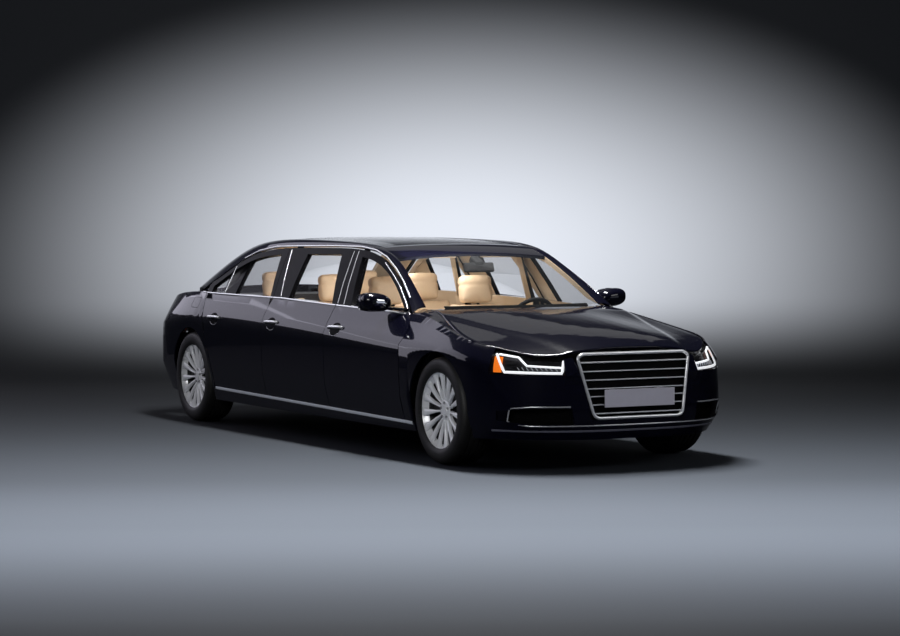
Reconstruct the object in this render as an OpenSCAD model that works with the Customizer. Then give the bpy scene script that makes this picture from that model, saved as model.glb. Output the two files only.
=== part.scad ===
// Six-door stretch limousine: body panels, doors, glass, cabin, running gear and wheels.
// +X is forward, +Y is the car's left, +Z is up. The origin is on the road under the middle of the car.

/* [Overall] */
// Distance between the axles
wheelbase = 4220; // [4100:10:4400]
// Front axle to the front of the number plate
front_overhang = 986; // [960:1:1020]
// Rear axle to the tail
rear_overhang = 1154; // [1120:1:1200]
// Body width without the mirrors
body_w = 1948; // [1900:2:2000]
// Roof height at its middle
roof_h = 1471; // [1450:1:1490]

/* [Wheels] */
// Tyre outer diameter
tyre_d = 712; // [700:1:718]
// Tyre width
tyre_w = 255; // [225:1:259]
// Bead seat diameter of the rim
rim_d = 482.6; // [470:0.1:500]
// Rim width over the flanges
rim_w = 240; // [215:1:246]
// Distance between the front wheel centres
track_front = 1644; // [1600:1:1654]
// Distance between the rear wheel centres
track_rear = 1635; // [1600:1:1645]
// Spokes on each rim
spokes = 15; // [9:1:20]
// Hub bore of the rim
hub_bore_d = 66.6; // [60:0.1:72]
// Running clearance on a hub, per side
hub_play = 0.05; // [0.02:0.01:0.1]
// Room between a tyre and the edge of its wheel arch
arch_gap = 34; // [30:1:40]
// Room between a front tyre and its liner
liner_gap = 60; // [54:1:68]
// Brake disc diameter
disc_d = 356; // [320:1:370]
// Kingpin distance inboard of the wheel centre
kingpin_in = 75; // [60:1:90]

/* [Doors] */
// Shut gap round a moving panel
gap = 6; // [5:0.5:8]
// Door thickness below the belt
door_t = 70; // [60:1:80]
// Thickness of a window frame
frame_t = 34; // [28:1:38]
// Width of the frame over a window
frame_top_w = 56; // [40:1:64]
// Set-back of a door's inner edge from its outer edge
door_taper = 22; // [18:1:26]
// Front shut line, behind the front axle
shut_1 = 524; // [510:1:540]
// Shut line between front and middle door, behind the front axle
shut_2 = 1704; // [1660:1:1740]
// Shut line between middle and rear door, behind the front axle
shut_3 = 2794; // [2760:1:2830]
// Hinge axis behind the leading edge
hinge_back = 75; // [70:1:80]
// Hinge axis inboard of the widest point
hinge_in = 30; // [27:1:32]
// Hinge pin radius
hinge_pin_r = 6; // [5:0.5:8]
// Hinge eye radius
hinge_eye_r = 12; // [11:0.5:13]

/* [Panels and glass] */
// Thickness of fenders, bonnet, boot lid and bumpers
skin_t = 9; // [7:0.5:12]
// Thickness of roof frame and pillars
pillar_t = 42; // [34:1:48]
// Glass thickness
glass_t = 5; // [4:0.5:6]
// Fit between fixed panels
fit = 0.3; // [0.2:0.05:0.5]
// Tumblehome of the side windows, sideways per height
tumble = 0.53; // [0.5:0.01:0.56]
// Further lean of the side windows beside the windscreen
tumble_front = 0.13; // [0.1:0.01:0.16]

/* [Hidden] */
L = wheelbase + front_overhang + rear_overhang;
xf = L / 2 - front_overhang;
xr = -L / 2 + rear_overhang;
hw = body_w / 2;
wheel_z = tyre_d / 2;
arch_r = wheel_z + arch_gap;
liner_r = wheel_z + liner_gap;
plate_t = 8;
nose = xf + front_overhang - plate_t + 3;
tail = xr - rear_overhang;
kf = track_front / 2 - kingpin_in;
$fn = 48;

// Smooth curves through a table: uniform cubic B-spline, straight at both ends
function mix(a, b, t) = a + (b - a) * t;
function limit(x, a, b) = min(max(x, a), b);
function row(tab, i) = i < 0 ? 2 * tab[0] - tab[1]
    : i >= len(tab) ? 2 * tab[len(tab) - 1] - tab[len(tab) - 2] : tab[i];
function spline(tab, s) = let (i = limit(floor(s), 0, len(tab) - 2), t = s - i)
    row(tab, i - 1) * pow(1 - t, 3) / 6 + row(tab, i) * (3 * pow(t, 3) - 6 * t * t + 4) / 6
    + row(tab, i + 1) * (-3 * pow(t, 3) + 3 * t * t + 3 * t + 1) / 6 + row(tab, i + 2) * pow(t, 3) / 6;
// Where a falling first column reaches x, by halving
function find(tab, x, a, b, n = 16) = n == 0 ? (a + b) / 2
    : spline(tab, (a + b) / 2)[0] > x ? find(tab, x, (a + b) / 2, b, n - 1) : find(tab, x, a, (a + b) / 2, n
        - 1);

// Body wall from the nose round the left side to the tail: x, y of the outline, then height and inset
// of the lower edge, the lower crease, the shoulder crease and the upper edge
WALL_HALF = [
    [nose, 0, 205, 60, 330, 4, 600, 14, 782, 90],
    [nose - 6, 260, 205, 60, 330, 4, 600, 14, 780, 90],
    [nose - 48, 520, 205, 84, 332, 4, 605, 25, 742, 92],
    [xf + 815, hw - 240, 208, 100, 335, 5, 622, 30, 736, 108],
    [xf + 600, hw - 110, 205, 84, 340, 8, 656, 14, 784, 94],
    [xf + 400, hw - 14, 200, 55, 360, 8, 735, 0, 814, 72],
    [xf, hw - 6, 195, 60, 395, 8, 752, 0, 876, 100],
    [xf - 414, hw - 2, 190, 70, 412, 10, 765, 0, 967, 195],
    [xf - 894, hw, 190, 74, 424, 10, 778, 0, 985, 150],
    [xf - 1704, hw, 190, 76, 440, 10, 798, 0, 1004, 92],
    [xf - 2794, hw, 190, 76, 460, 10, 816, 0, 1026, 76],
    [xr + 526, hw - 4, 192, 72, 476, 10, 830, 0, 1032, 76],
    [xr, hw - 8, 200, 64, 484, 8, 836, 0, 1033, 90],
    [xr - 474, hw - 30, 215, 58, 470, 8, 800, 2, 1008, 116],
    [xr - 790, hw - 76, 230, 84, 440, 8, 745, 6, 968, 126],
    [xr - 1000, hw - 208, 240, 96, 420, 4, 722, 20, 955, 112],
    [tail + 50, 540, 240, 90, 420, 2, 722, 26, 962, 92],
    [tail + 8, 260, 240, 60, 420, 2, 722, 28, 970, 84],
    [tail + 1, 0, 240, 60, 420, 2, 722, 28, 973, 82]];
function flip(r) = [for (i = [0:len(r) - 1]) i == 1 ? -r[i] : r[i]];
NW = len(WALL_HALF);
WALL = concat([flip(WALL_HALF[1])], WALL_HALF, [flip(WALL_HALF[NW - 2])]);
BULGE = [3, 3, 4];
function wall(s) = spline(WALL, s + 1);
function wall_s(x) = find(WALL, x, 1, NW) - 1;
// Height and inset up the section: v 0 lower edge, 1 lower crease, 2 shoulder, 3 upper edge
function section(r, v) = let (j = limit(floor(v), 0, 2), t = v - j)
    [mix(r[2 + 2 * j], r[4 + 2 * j], t), mix(r[3 + 2 * j], r[5 + 2 * j], t) - BULGE[j] * 4 * t * (1 - t)];
function section_v(r, z) = z < r[4] ? (z - r[2]) / (r[4] - r[2])
    : z < r[6] ? 1 + (z - r[4]) / (r[6] - r[4]) : 2 + (z - r[6]) / (r[8] - r[6]);
function wall_n(s) = let (d = wall(s + 0.02) - wall(s - 0.02), m = norm([d[0], d[1]])) [d[1] / m, -d[0] / m,
    0];
function wall_pt(s, v, deep = 0) = let (r = wall(s), n = wall_n(s), q = section(r, v))
    [r[0], r[1], q[0]] - n * (q[1] + deep);
function wall_at(s, z, deep = 0) = wall_pt(s, section_v(wall(s), z), deep);
function side_z(x, z, deep = 0) = let (r = wall(wall_s(x)), q = section(r, section_v(r, z)))
    [x, r[1] - q[1] - deep, z];
function belt(x) = let (r = wall(wall_s(x))) [x, r[1] - r[9], r[8]];
function edge(s) = wall_pt(s, 3);

// Heights above the belt follow the roof height
belt_h = 1030;
house_h = 441;
function up(z) = z < belt_h ? z : belt_h + (z - belt_h) * (roof_h - belt_h) / house_h;
// Upper window line: x and height
DLO = [for (q = [[xf - 640, 969], [xf - 750, 1045], [xf - 896, 1136], [xf - 1094, 1242], [xf - 1350, 1356],
    [xf - 1662, 1412], [xf - 2384, 1404], [xf - 2996, 1399], [xr + 762, 1350], [xr + 451, 1206],
    [xr + 221, 1108], [xr + 91, 1050]]) [q[0], up(q[1])]];
ND = len(DLO) - 1;
function dlo_z(x) = spline(DLO, find(DLO, x, 0, ND))[1];
// Side window surface, which leans in more towards the windscreen
function lean(x) = let (k = limit((x - xf + 1600) / 700, 0, 1)) tumble + tumble_front * k * k * (3 - 2 * k);
function green(x, z, deep = 0) = let (b = belt(x), t = (z - b[2]) / 400)
    [x, b[1] - lean(x) * (z - b[2]) + 36 * t * (1 - t) - deep, z - deep * tumble * 0.6];
// Inner edge of the roof side frame, along the windscreen, the roof glass and the rear window
RAIL = [for (q = [[xf - 678, 680, 1012], [xf - 820, 660, 1098], [xf - 980, 636, 1190], [xf - 1154, 604, 1284],
    [xf - 1414, 585, 1396], [xf - 1794, 590, 1437], [xf - 2394, 598, 1451], [xf - 2994, 600, 1454],
    [xr + 770, 596, 1437], [xr + 380, 612, 1376], [xr + 20, 668, 1219], [xr - 310, 742, 1040]]) [q[0], q[1],
        up(q[2])]];
function rail(s) = let (i = min(floor(4 * s), 43), t = 4 * s - i)
    mix(spline(RAIL, i / 4), spline(RAIL, (i + 1) / 4), t);
function dlo(s) = let (q = spline(DLO, s)) green(q[0], q[1]);
// Middle line of the car over windscreen, roof and rear window
CENTRE = [for (q = [[xf - 462, 1012], [xf - 700, 1126], [xf - 930, 1230], [xf - 1170, 1330], [xf - 1420,
    1413],
    [xf - 1794, 1457], [xf - 2394, 1473], [xf - 2994, 1466], [xr + 800, 1461], [xr + 330, 1401],
    [xr - 30, 1249], [xr - 400, 1060]]) [q[0], 0, up(q[1])]];
function centre(s) = spline(CENTRE, s);
// Crowned top between the middle line and the rail: w runs from -1 right to 1 left
function top_pt(s, w, deep = 0, power = 2.3) = let (a = abs(w), f = pow(a, power), c = centre(s), e = rail(s))
    [mix(c[0], e[0], a * a), e[1] * w, mix(c[2], e[2], f) - deep];

// Closed solid between an outer and an inner grid of points
function flat(g) = [for (r = g) for (p = r) p];
function quad(a, b, c, d, turn) = turn ? [[a, b, c], [a, c, d]] : [[a, c, b], [a, d, c]];
module shell(A, B) {
    m = len(A);
    n = len(A[0]);
    k = m * n;
    i = floor((m - 1) / 2);
    j = floor((n - 1) / 2);
    turn = cross(A[i][j + 1] - A[i][j], A[i + 1][j] - A[i][j]) * (A[i][j] - B[i][j]) > 0;
    f = concat(
        [for (i = [0:m - 2]) for (j = [0:n - 2])
            for (q = quad(i * n + j, (i + 1) * n + j, (i + 1) * n + j + 1, i * n + j + 1, turn)) q],
        [for (i = [0:m - 2]) for (j = [0:n - 2])
            for (q = quad(k + i * n + j, k + i * n + j + 1, k + (i + 1) * n + j + 1, k + (i + 1) * n + j,
                turn)) q],
        [for (j = [0:n - 2]) for (q = quad(j, j + 1, k + j + 1, k + j, turn)) q],
        [for (j = [0:n - 2]) for (q = quad((m - 1) * n + j, k + (m - 1) * n + j, k + (m - 1) * n + j + 1,
            (m - 1) * n + j + 1, turn)) q],
        [for (i = [0:m - 2]) for (q = quad(i * n, k + i * n, k + (i + 1) * n, (i + 1) * n, turn)) q],
        [for (i = [0:m - 2]) for (q = quad(i * n + n - 1, (i + 1) * n + n - 1, k + (i + 1) * n + n - 1,
            k + i * n + n - 1, turn)) q]);
    polyhedron(concat(flat(A), flat(B)), f, convexity = 6);
}
function steps(n) = [for (i = [0:n]) i / n];
module right_side() { mirror([0, 1, 0]) children(); }
module both() {
    children();
    right_side() children();
}
module block(x0, x1, y0, y1, z0, z1) { translate([x0, y0, z0]) cube([x1 - x0, y1 - y0, z1 - z0]); }
module along_y(x, y0, y1, z, r) { translate([x, y0, z]) rotate([-90, 0, 0]) cylinder(r = r, h = y1 - y0); }

// Doors
sill_top_front = 250;
sill_top_rear = 292;
function sill_z(x) = mix(sill_top_front, sill_top_rear, (xf - 380 - x) / (wheelbase - 900));
belt_gap = 10;
// Shut lines lean forward above the shoulder and back along the window posts
function shut(k, z) = let (x = DOOR_FRONT[k], b = belt(x)[2])
    x + max(0, min(z, b) - 870) * (k == 1 ? 0.11 : 0.36) - max(0, z - b) * 0.28;
function rear_shut(z) = max(z > 800 ? xr + 302 - (z - 800) * 0.5 : xr + 302 + (800 - z) * 0.1,
    xr + sqrt(max(0, pow(arch_r + 46, 2) - pow(z - wheel_z, 2))));
DOOR_FRONT = [xf - shut_1, xf - shut_2, xf - shut_3];
corner_z = 870;
corner_slope = 1.56;
function door_x0(k, z) = k == 0 ? DOOR_FRONT[0] - max(0, z - corner_z) * corner_slope : shut(k, z) - gap / 2;
function door_x1(k, z) = k == 2 ? rear_shut(z) : shut(k + 1, z) + gap / 2;
DOOR_V = [0, 0.14, 0.28, 0.36, 0.45, 0.54, 0.62, 0.7, 0.8, 0.9, 1];
module door_panel(k) {
    function pt(u, b, deep) = let (
        xm = mix(door_x0(k, 600), door_x1(k, 600), u),
        r = wall(wall_s(xm)),
        z0 = sill_z(xm) + gap,
        v = b < 0.3 ? mix(section_v(r, z0), 1, b / 0.28) : b < 0.71 ? 1 + (b - 0.28) / 0.42 : 2 + (b - 0.7)
            / 0.3,
        za = section(r, v)[0],
        xa = mix(door_x0(k, za), door_x1(k, za), u),
        z = section(wall(wall_s(xa)), v)[0] + (deep > 0 && b == 0 ? door_taper : 0),
        in0 = deep > 0 ? door_taper : 0,
        x = mix(door_x0(k, z) - in0, door_x1(k, z) + in0, u))
        side_z(x, z, deep);
    A = [for (b = DOOR_V) [for (u = steps(7)) pt(u, b, 0)]];
    B = [for (b = DOOR_V) [for (u = steps(7)) pt(u, b, door_t)]];
    shell(A, B);
}
shut_2x = xf - shut_2;
shut_3x = xf - shut_3;
// Window openings: x at the belt and at the top, front and rear, as offsets from the front axle
OPENING = [[xf - 760, xf - 790, shut_2x + 231, shut_2x + 80], [shut_2x - 49, shut_2x - 240, shut_3x + 323,
    shut_3x + 307],
    [shut_3x + 8, shut_3x - 135, xr + 280, xr + 330]];
bar_x = xr + 654;
bar_w = 226;
// Upper edge of a window opening at x
function opening_top(x) = dlo_z(x) - frame_top_w;
foot = -8;
TOP_N = 14;
// Upper edge of a window opening, front to rear, as x and height
function opening_edge(k) = let (o = OPENING[k]) [for (t = steps(TOP_N))
    let (x = mix(k == 0 ? o[0] : o[1], k == 2 ? o[2] : o[3], t)) [x, opening_top(x)]];
function opening_foot(k, t) = let (o = OPENING[k], x = mix(o[0], o[2], t)) [x, belt(x)[2] + foot];
function bar_edge(e, z) = bar_x + e * (bar_w / 2 + (z - 1040) * 0.15);
function bar_top(e) = opening_top(bar_x + e * (bar_w / 2 + 25));
module door_frame(k) {
    // outer and inner edge of the frame, from the front foot over the top to the rear foot
    top_x0 = k == 0 ? xf - 690 : door_x0(k, 1400);
    top_x1 = k == 2 ? xr + 192 : door_x1(k, 1400);
    edge = opening_edge(k);
    function post(x, z1, t, front) = let (b = belt(x)[2], z = t < 0 ? b + foot : mix(b, z1, t))
        [front ? door_x0(k, z) : door_x1(k, z), z];
    legs = [-1, 0, 0.4, 0.8];
    legs_back = [0.8, 0.4, 0, -1];
    outer = concat(
        k == 0 ? [[top_x0, belt(top_x0)[2] + foot]] : [for (t = legs) post(top_x0, dlo_z(top_x0), t, true)],
        [for (t = steps(TOP_N)) let (x = mix(top_x0, top_x1, t)) [x, dlo_z(x) - belt_gap]],
        k == 2 ? [[top_x1, belt(top_x1)[2] + foot]] : [for (t = legs_back) post(top_x1, dlo_z(top_x1), t,
            false)]);
    inner = concat(
        k == 0 ? [opening_foot(k, 0)] : [for (t = legs) mix(opening_foot(k, 0), edge[0], 0.04 + 0.96 *
            max(t, -0.0416))],
        edge,
        k == 2 ? [opening_foot(k, 1)] : [for (t = legs_back) mix(opening_foot(k, 1), edge[TOP_N], 0.04 +
            0.96 * max(t, -0.0416))]);
    mid = [(OPENING[k][0] + OPENING[k][3]) / 2, 1180];
    function tuck(p) = p + (mid - p) * 12 / norm(mid - p);
    A = [[for (p = outer) green(p[0], p[1])], [for (p = inner) green(p[0], p[1])]];
    B = [[for (p = outer) let (q = tuck(p)) green(q[0], q[1], frame_t)],
        [for (p = inner) green(p[0], p[1], frame_t)]];
    shell(A, B);
    if (k == 2)
        shell([for (t = [0, 0.5, 1]) [for (e = [-1, 1]) let (z = mix(belt(bar_x)[2] - 6, bar_top(e) + 6, t))
                green(bar_edge(e, z), z, 1)]],
            [for (t = [0, 0.5, 1]) [for (e = [-1, 1]) let (z = mix(belt(bar_x)[2] - 6, bar_top(e) + 6, t))
                green(bar_edge(e, z), z, frame_t - 1)]]);
}
hinge_y = hw - hinge_in;
HINGE_Z = [460, 650];
hinge_h = 50;
function hinge_x(k) = DOOR_FRONT[k] - hinge_back - (k == 0 ? 0 : gap / 2);
// Room in a door for the hinge leaf of the body
module hinge_room(k) {
    for (z = HINGE_Z)
        block(hinge_x(k) - 24, hinge_x(k) + 160, hinge_y - 90, hinge_y + hinge_eye_r + 2, z - 20, z +
            hinge_h + 46);
}
module door(k) {
    difference() {
        union() {
            door_panel(k);
            door_frame(k);
        }
        hinge_room(k);
    }
    for (z = HINGE_Z) difference() {
        union() {
            translate([hinge_x(k), hinge_y, z]) cylinder(r = hinge_eye_r, h = hinge_h);
            block(hinge_x(k) - 34, hinge_x(k), hinge_y - 9, hinge_y + 9, z, z + hinge_h);
        }
        translate([hinge_x(k), hinge_y, z - 1]) cylinder(r = hinge_pin_r + hub_play, h = hinge_h + 2);
    }
}
module door_glass(k) {
    // columns of the pane from the belt to the upper edge; the rear door has two panes beside its bar
    e = 2 * fit;
    edge = opening_edge(k);
    function top_at(x) = let (i = limit(floor((edge[0][0] - x) / (edge[0][0] - edge[TOP_N][0]) * TOP_N), 0,
        TOP_N - 1),
        t = (edge[i][0] - x) / (edge[i][0] - edge[i + 1][0])) [x, mix(edge[i][1], edge[i + 1][1], t)];
    full = [for (i = [0:TOP_N]) let (f = opening_foot(k, i / TOP_N), q = edge[i]) [mix(f, q, (6 - foot) /
        (q[1] - f[1])), q]];
    bar_front = let (q = top_at(bar_edge(1, bar_top(1)))) [[bar_edge(1, 1040) + e, belt(bar_x)[2] + 6], q +
        [e, 0]];
    bar_rear = let (q = top_at(bar_edge(-1, bar_top(-1)))) [[bar_edge(-1, 1040) - e, belt(bar_x)[2] + 6], q
        - [e, 0]];
    panes = k < 2 ? [full]
        : [concat([for (c = full) if (c[1][0] > bar_front[1][0] + 8 && c[0][0] > bar_front[0][0] + 8) c],
            [bar_front]),
            concat([bar_rear], [for (c = full) if (c[1][0] < bar_rear[1][0] - 8 && c[0][0] < bar_rear[0][0]
                - 8) c])];
    function pt(pane, i, t, deep) = let (c = pane[i], d = i == 0 ? -e : i == len(pane) - 1 ? e : 0,
        q = mix(c[0], c[1] - [0, e], t)) green(q[0] + d, q[1], deep);
    for (pane = panes) shell(
        [for (t = steps(2)) [for (i = [0:len(pane) - 1]) pt(pane, i, t, 10)]],
        [for (t = steps(2)) [for (i = [0:len(pane) - 1]) pt(pane, i, t, 10 + glass_t)]]);
}

module door_fl() { color("midnightblue") door(0); }
module door_fr() { color("midnightblue") right_side() door(0); }
module door_ml() { color("midnightblue") door(1); }
module door_mr() { color("midnightblue") right_side() door(1); }
module door_rl() { color("midnightblue") door(2); }
module door_rr() { color("midnightblue") right_side() door(2); }
module glass_fl() { color("lightblue") door_glass(0); }
module glass_fr() { color("lightblue") right_side() door_glass(0); }
module glass_ml() { color("lightblue") door_glass(1); }
module glass_mr() { color("lightblue") right_side() door_glass(1); }
module glass_rl() { color("lightblue") door_glass(2); }
module glass_rr() { color("lightblue") right_side() door_glass(2); }

// Roof, pillars and fixed glass
// A-pillar, roof rail and rear pillar between the window line and the glass
function frame_pt(s, w, deep) = let (a = dlo(s), b = rail(s), t = 4 * w * (1 - w))
    mix(a, b, w) + [s < 5 ? 6 * t : 0, 10 * t, 14 * t] - deep * limit(0.15 + s, 0.15, 1) * [0, 1 - w, w] /
        norm([1 - w, w]);
module side_frame() {
    A = [for (i = [0:44]) [for (w = [0.03, 0.35, 0.7, 1]) frame_pt(i / 4, w, 0)]];
    B = [for (i = [0:44]) [for (w = [0.03, 0.35, 0.7, 1]) frame_pt(i / 4, w, pillar_t)]];
    shell(A, B);
}
module body_sides() { color("midnightblue") both() side_frame(); }
// Stations from s0 to s1 that keep every knot of the rail
function knots(s0, s1) = concat([s0], [for (i = [floor(4 * s0) + 1:ceil(4 * s1) - 1]) i / 4], [s1]);
module top_shell(s0, s1, w1, deep, t, m) {
    S = knots(s0, s1);
    W = [for (a = steps(m)) mix(-w1, w1, a)];
    shell([for (s = S) [for (w = W) top_pt(s, w, deep)]], [for (s = S) [for (w = W) top_pt(s, w, deep + t)]]);
}
glass_edge = 1 - fit / 600;
screen_top = 3.42;
roof_glass_front = 4.35;
roof_glass_rear = 7.9;
rear_glass_top = 8.9;
module windscreen() { color("lightblue") top_shell(0, screen_top, glass_edge, 3, glass_t, 12); }
module rear_window() { color("lightblue") top_shell(rear_glass_top, 11, glass_edge, 3, glass_t, 8); }
module roof_glass() {
    color("black") top_shell(roof_glass_front, roof_glass_rear, 0.93, 1, glass_t, 8);
}
// Roof skin in one piece, with a pocket for the glass
module roof_panel() {
    e = 0.002;
    f = roof_glass_front - e;
    r = roof_glass_rear + e;
    S = concat(knots(screen_top + 0.01, f - 2 * e), knots(f - e, r + e), knots(r + 2 * e, rear_glass_top -
        0.01));
    half = concat([for (a = [1:4]) a / 4 * 0.932], [0.936, 0.966, glass_edge]);
    W = concat([for (i = [len(half) - 1:-1:0]) -half[i]], [0], half);
    function pocket(s, w) = s > f - 1.5 * e && s < r + 1.5 * e && abs(w) < 0.934 ? 1 + glass_t + fit : 0;
    color("midnightblue") shell([for (s = S) [for (w = W) top_pt(s, w, pocket(s, w))]],
        [for (s = S) [for (w = W) top_pt(s, w, 24)]]);
}

// Nose: bumper, grille, lamps, number plate
bump_top = 622;
lamp_in = 2.0;
lamp_out = 4.15;
function full(s, z, deep = 0) = let (p = wall_at(abs(s), z, deep)) [p[0], s < 0 ? -p[1] : p[1], p[2]];
function arch_x(xc, z, dir) = xc + dir * (z > wheel_z ? sqrt(max(1, arch_r * arch_r - pow(z - wheel_z, 2)))
    : arch_r);
grille_z = 336;
grille_tilt = 10.2;
grille_x = xf + 976;
GRILLE = [[-339, 0], [339, 0], [428, 407], [385, 434], [-385, 434], [-428, 407]];
grille_rim = 24;
grille_deep = 36;
slats = 7;
plate_w = 520;
plate_h = 112;
plate_z = 470;
module grille_place() { translate([grille_x, 0, grille_z]) rotate([0, -grille_tilt, 0]) children(); }
module grille_prism(grow, x0, x1) {
    translate([x0, 0, 0]) rotate([90, 0, 90]) linear_extrude(height = x1 - x0) offset(delta = grow)
        polygon(GRILLE);
}
module front_bumper() {
    function pt(a, t, deep) = let (
        s0 = wall_s(arch_x(xf, mix(205, bump_top, t), 1) + (t > 0.6 ? fit : 0)),
        s = a * s0, r = wall(abs(s)))
        full(s, t < 0.3 ? mix(r[2], r[4], t / 0.3) : mix(r[4], bump_top, (t - 0.3) / 0.7), deep);
    T = [0, 0.15, 0.3, 0.48, 0.66, 0.83, 1];
    A = [for (t = T) [for (a = [-20:20]) pt(a / 20, t, 0)]];
    B = [for (t = T) [for (a = [-20:20]) pt(a / 20, t, skin_t)]];
    T2 = steps(3);
    function high(s, t) = mix(bump_top - 4, min(750, wall(abs(s))[8] - 24), t);
    S = [for (a = [-8:8]) a / 8 * (lamp_in - 0.01)];
    color("midnightblue") difference() {
        union() {
            shell(A, B);
            shell([for (t = T2) [for (s = S) full(s, high(s, t))]],
                [for (t = T2) [for (s = S) full(s, high(s, t), skin_t)]]);
        }
        grille_place() grille_prism(fit, -120, 60);
        both() translate([xf + 600, 0, 0]) rotate([90, 0, 90]) linear_extrude(height = 500)
            polygon([[452, 306], [700, 306], [846, 330], [846, 392], [700, 412], [470, 412]]);
    }
}
module grille() {
    color("silver") grille_place() {
        difference() {
            grille_prism(0, -grille_deep, 0);
            grille_prism(-grille_rim, -grille_deep + 6, 10);
        }
        for (i = [1:slats]) let (h = i * 434 / (slats + 1), w = 330 + 84 * h / 407)
            translate([-grille_deep + 5, -w + grille_rim, h - 6]) cube([grille_deep - 17, 2 * w - 2 *
                grille_rim, 12]);
    }
}
module number_plate() {
    function face(z) = grille_x - 12 * cos(grille_tilt) - tan(grille_tilt) * (z - grille_z) + fit;
    z0 = plate_z - plate_h / 2;
    z1 = plate_z + plate_h / 2;
    x1 = xf + front_overhang;
    color("white") {
        block(x1 - plate_t, x1, -plate_w / 2, plate_w / 2, z0, z1);
        for (y = [-180, 180]) translate([0, y + 20, 0]) rotate([90, 0, 0]) linear_extrude(height = 40)
            polygon([[face(z0), z0 + 2], [x1 - 1, z0 + 2], [x1 - 1, z1 - 2], [face(z1), z1 - 2]]);
    }
}
module headlamps() {
    Z = steps(4);
    S = [for (a = steps(12)) mix(lamp_in, lamp_out, a)];
    function z(s, t) = mix(bump_top + fit, wall(s)[8] - 22, t);
    color("gainsboro") both() {
        shell([for (t = Z) [for (s = S) full(s, z(s, t), 2)]], [for (t = Z) [for (s = S) full(s, z(s, t),
            60)]]);
    }
}
module front_fenders() {
    x0 = xf - shut_1 + gap + 1;
    x9 = spline(WALL, lamp_out + 1)[0] - 8;
    turn = acos((bump_top + fit - wheel_z) / arch_r);
    P = concat([[x0, 0], [x0 + 45, 0], [x0 + 90, 0], [xf - arch_r - 3, 0]],
        [for (a = steps(12)) [xf + arch_r * sin(mix(-86, turn, a)), 1]],
        [for (a = [1:5]) [mix(xf + arch_r * sin(turn), x9, a / 5), 2]]);
    function low(p) = p[1] == 0 ? sill_z(p[0]) + fit : p[1] == 2 ? bump_top + fit
        : wheel_z + sqrt(max(0, arch_r * arch_r - pow(p[0] - xf, 2)));
    function lag(p) = p[0] == x0 ? 1 : p[0] == x0 + 45 ? 0.5 : p[0] == x0 + 90 ? 0.2 : 0;
    function fx(p, z) = p[0] - lag(p) * max(0, z - corner_z - 3.5) * corner_slope;
    function zz(p, b) = let (r = wall(wall_s(p[0])), l = low(p), m = max(r[6], l + 8),
        k = wall(wall_s(fx(p, r[8])))[8] - 4 * lag(p)) b < 3 ? mix(l, m, b / 3) : mix(m, k, (b - 3) / 4);
    function skin(p, x, z, deep) = p[1] == 2 ? wall_at(wall_s(x), z, deep) : side_z(x, z, deep);
    function top(a, j, deep) = let (x = mix(mix(dlo(0)[0], rail(0)[0], j) + 14, xf + 330, a), b = belt(x), f
        = flange(x))
        [x, b[1] - f * j, b[2] + 0.26 * (f - skin_t) * j - deep];
    color("midnightblue") both() {
        shell([for (b = [0:7]) [for (p = P) let (z = zz(p, b)) skin(p, fx(p, z), z, 0)]],
            [for (b = [0:7]) [for (p = P) let (z = zz(p, b)) skin(p, fx(p, z) + (p[0] == x0 ? 10 : 0), z,
                skin_t)]]);
        shell([for (j = steps(2)) [for (a = steps(12)) top(a, j, 0)]],
            [for (j = steps(2)) [for (a = steps(12)) top(a, j, skin_t)]]);
    }
}
// Bonnet and boot lid: crowned patches between a middle line and the upper edge of the wall
function patch(c0, c1, d0, d1, u, w, p) = let (a = abs(w), f = pow(a, p), g = pow(a, 2), k = [g, a, f])
    let (o = [1, 1, 1] - k, q = [for (i = [0:2]) o[i] * c0(u)[i] + k[i] * c1(u)[i]
        + (1 - u) * (d0(a)[i] - o[i] * c0(0)[i] - k[i] * c1(0)[i])
        + u * (d1(a)[i] - o[i] * c0(1)[i] - k[i] * c1(1)[i])])
    [q[0], w < 0 ? -q[1] : q[1], q[2]];
bonnet_s = 4.1;
bonnet_end = xf - 600;
BONNET_MID = [[xf + 880, 0, 784], [xf + 700, 0, 848], [xf + 350, 0, 906], [xf - 50, 0, 956], [xf - 448, 0,
    1000]];
// Fender top between the wall edge and the bonnet shut line: width and rise
function flange(x) = skin_t + 1 + 92 * pow(limit((xf + 320 - x) / 860, 0, 1), 1.6);
function lid_edge(s) = let (f = flange(wall(s)[0])) wall_pt(s, 3, gap + 2 + f) + [0, 0, 0.26 * (f - skin_t)];
module bonnet_skin(t) {
    e0 = lid_edge(0);
    s1 = wall_s(bonnet_end);
    e1 = lid_edge(s1);
    c0 = function(u) let (q = spline(BONNET_MID, 4 * u)) [q[0] + (e0[0] - BONNET_MID[0][0]) * (1 - u), 0,
        q[2] + (e0[2] - BONNET_MID[0][2]) * (1 - u)];
    c1 = function(u) lid_edge(mix(bonnet_s, s1, u));
    d0 = function(w) lid_edge(bonnet_s * w);
    d1 = function(w) [mix(BONNET_MID[4][0], e1[0], w * w), e1[1] * w, mix(BONNET_MID[4][2], e1[2], pow(w,
        2.2))];
    U = steps(12);
    W = [for (a = [-10:10]) a / 10];
    shell([for (u = U) [for (w = W) patch(c0, c1, d0, d1, u, w, 2.2)]],
        [for (u = U) [for (w = W) patch(c0, c1, d0, d1, u, w, 2.2) - [0, 0, t]]]);
}
bonnet_axis_x = xf - 594;
bonnet_arm_y = 600;
bonnet_axis_z = 985;
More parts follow.
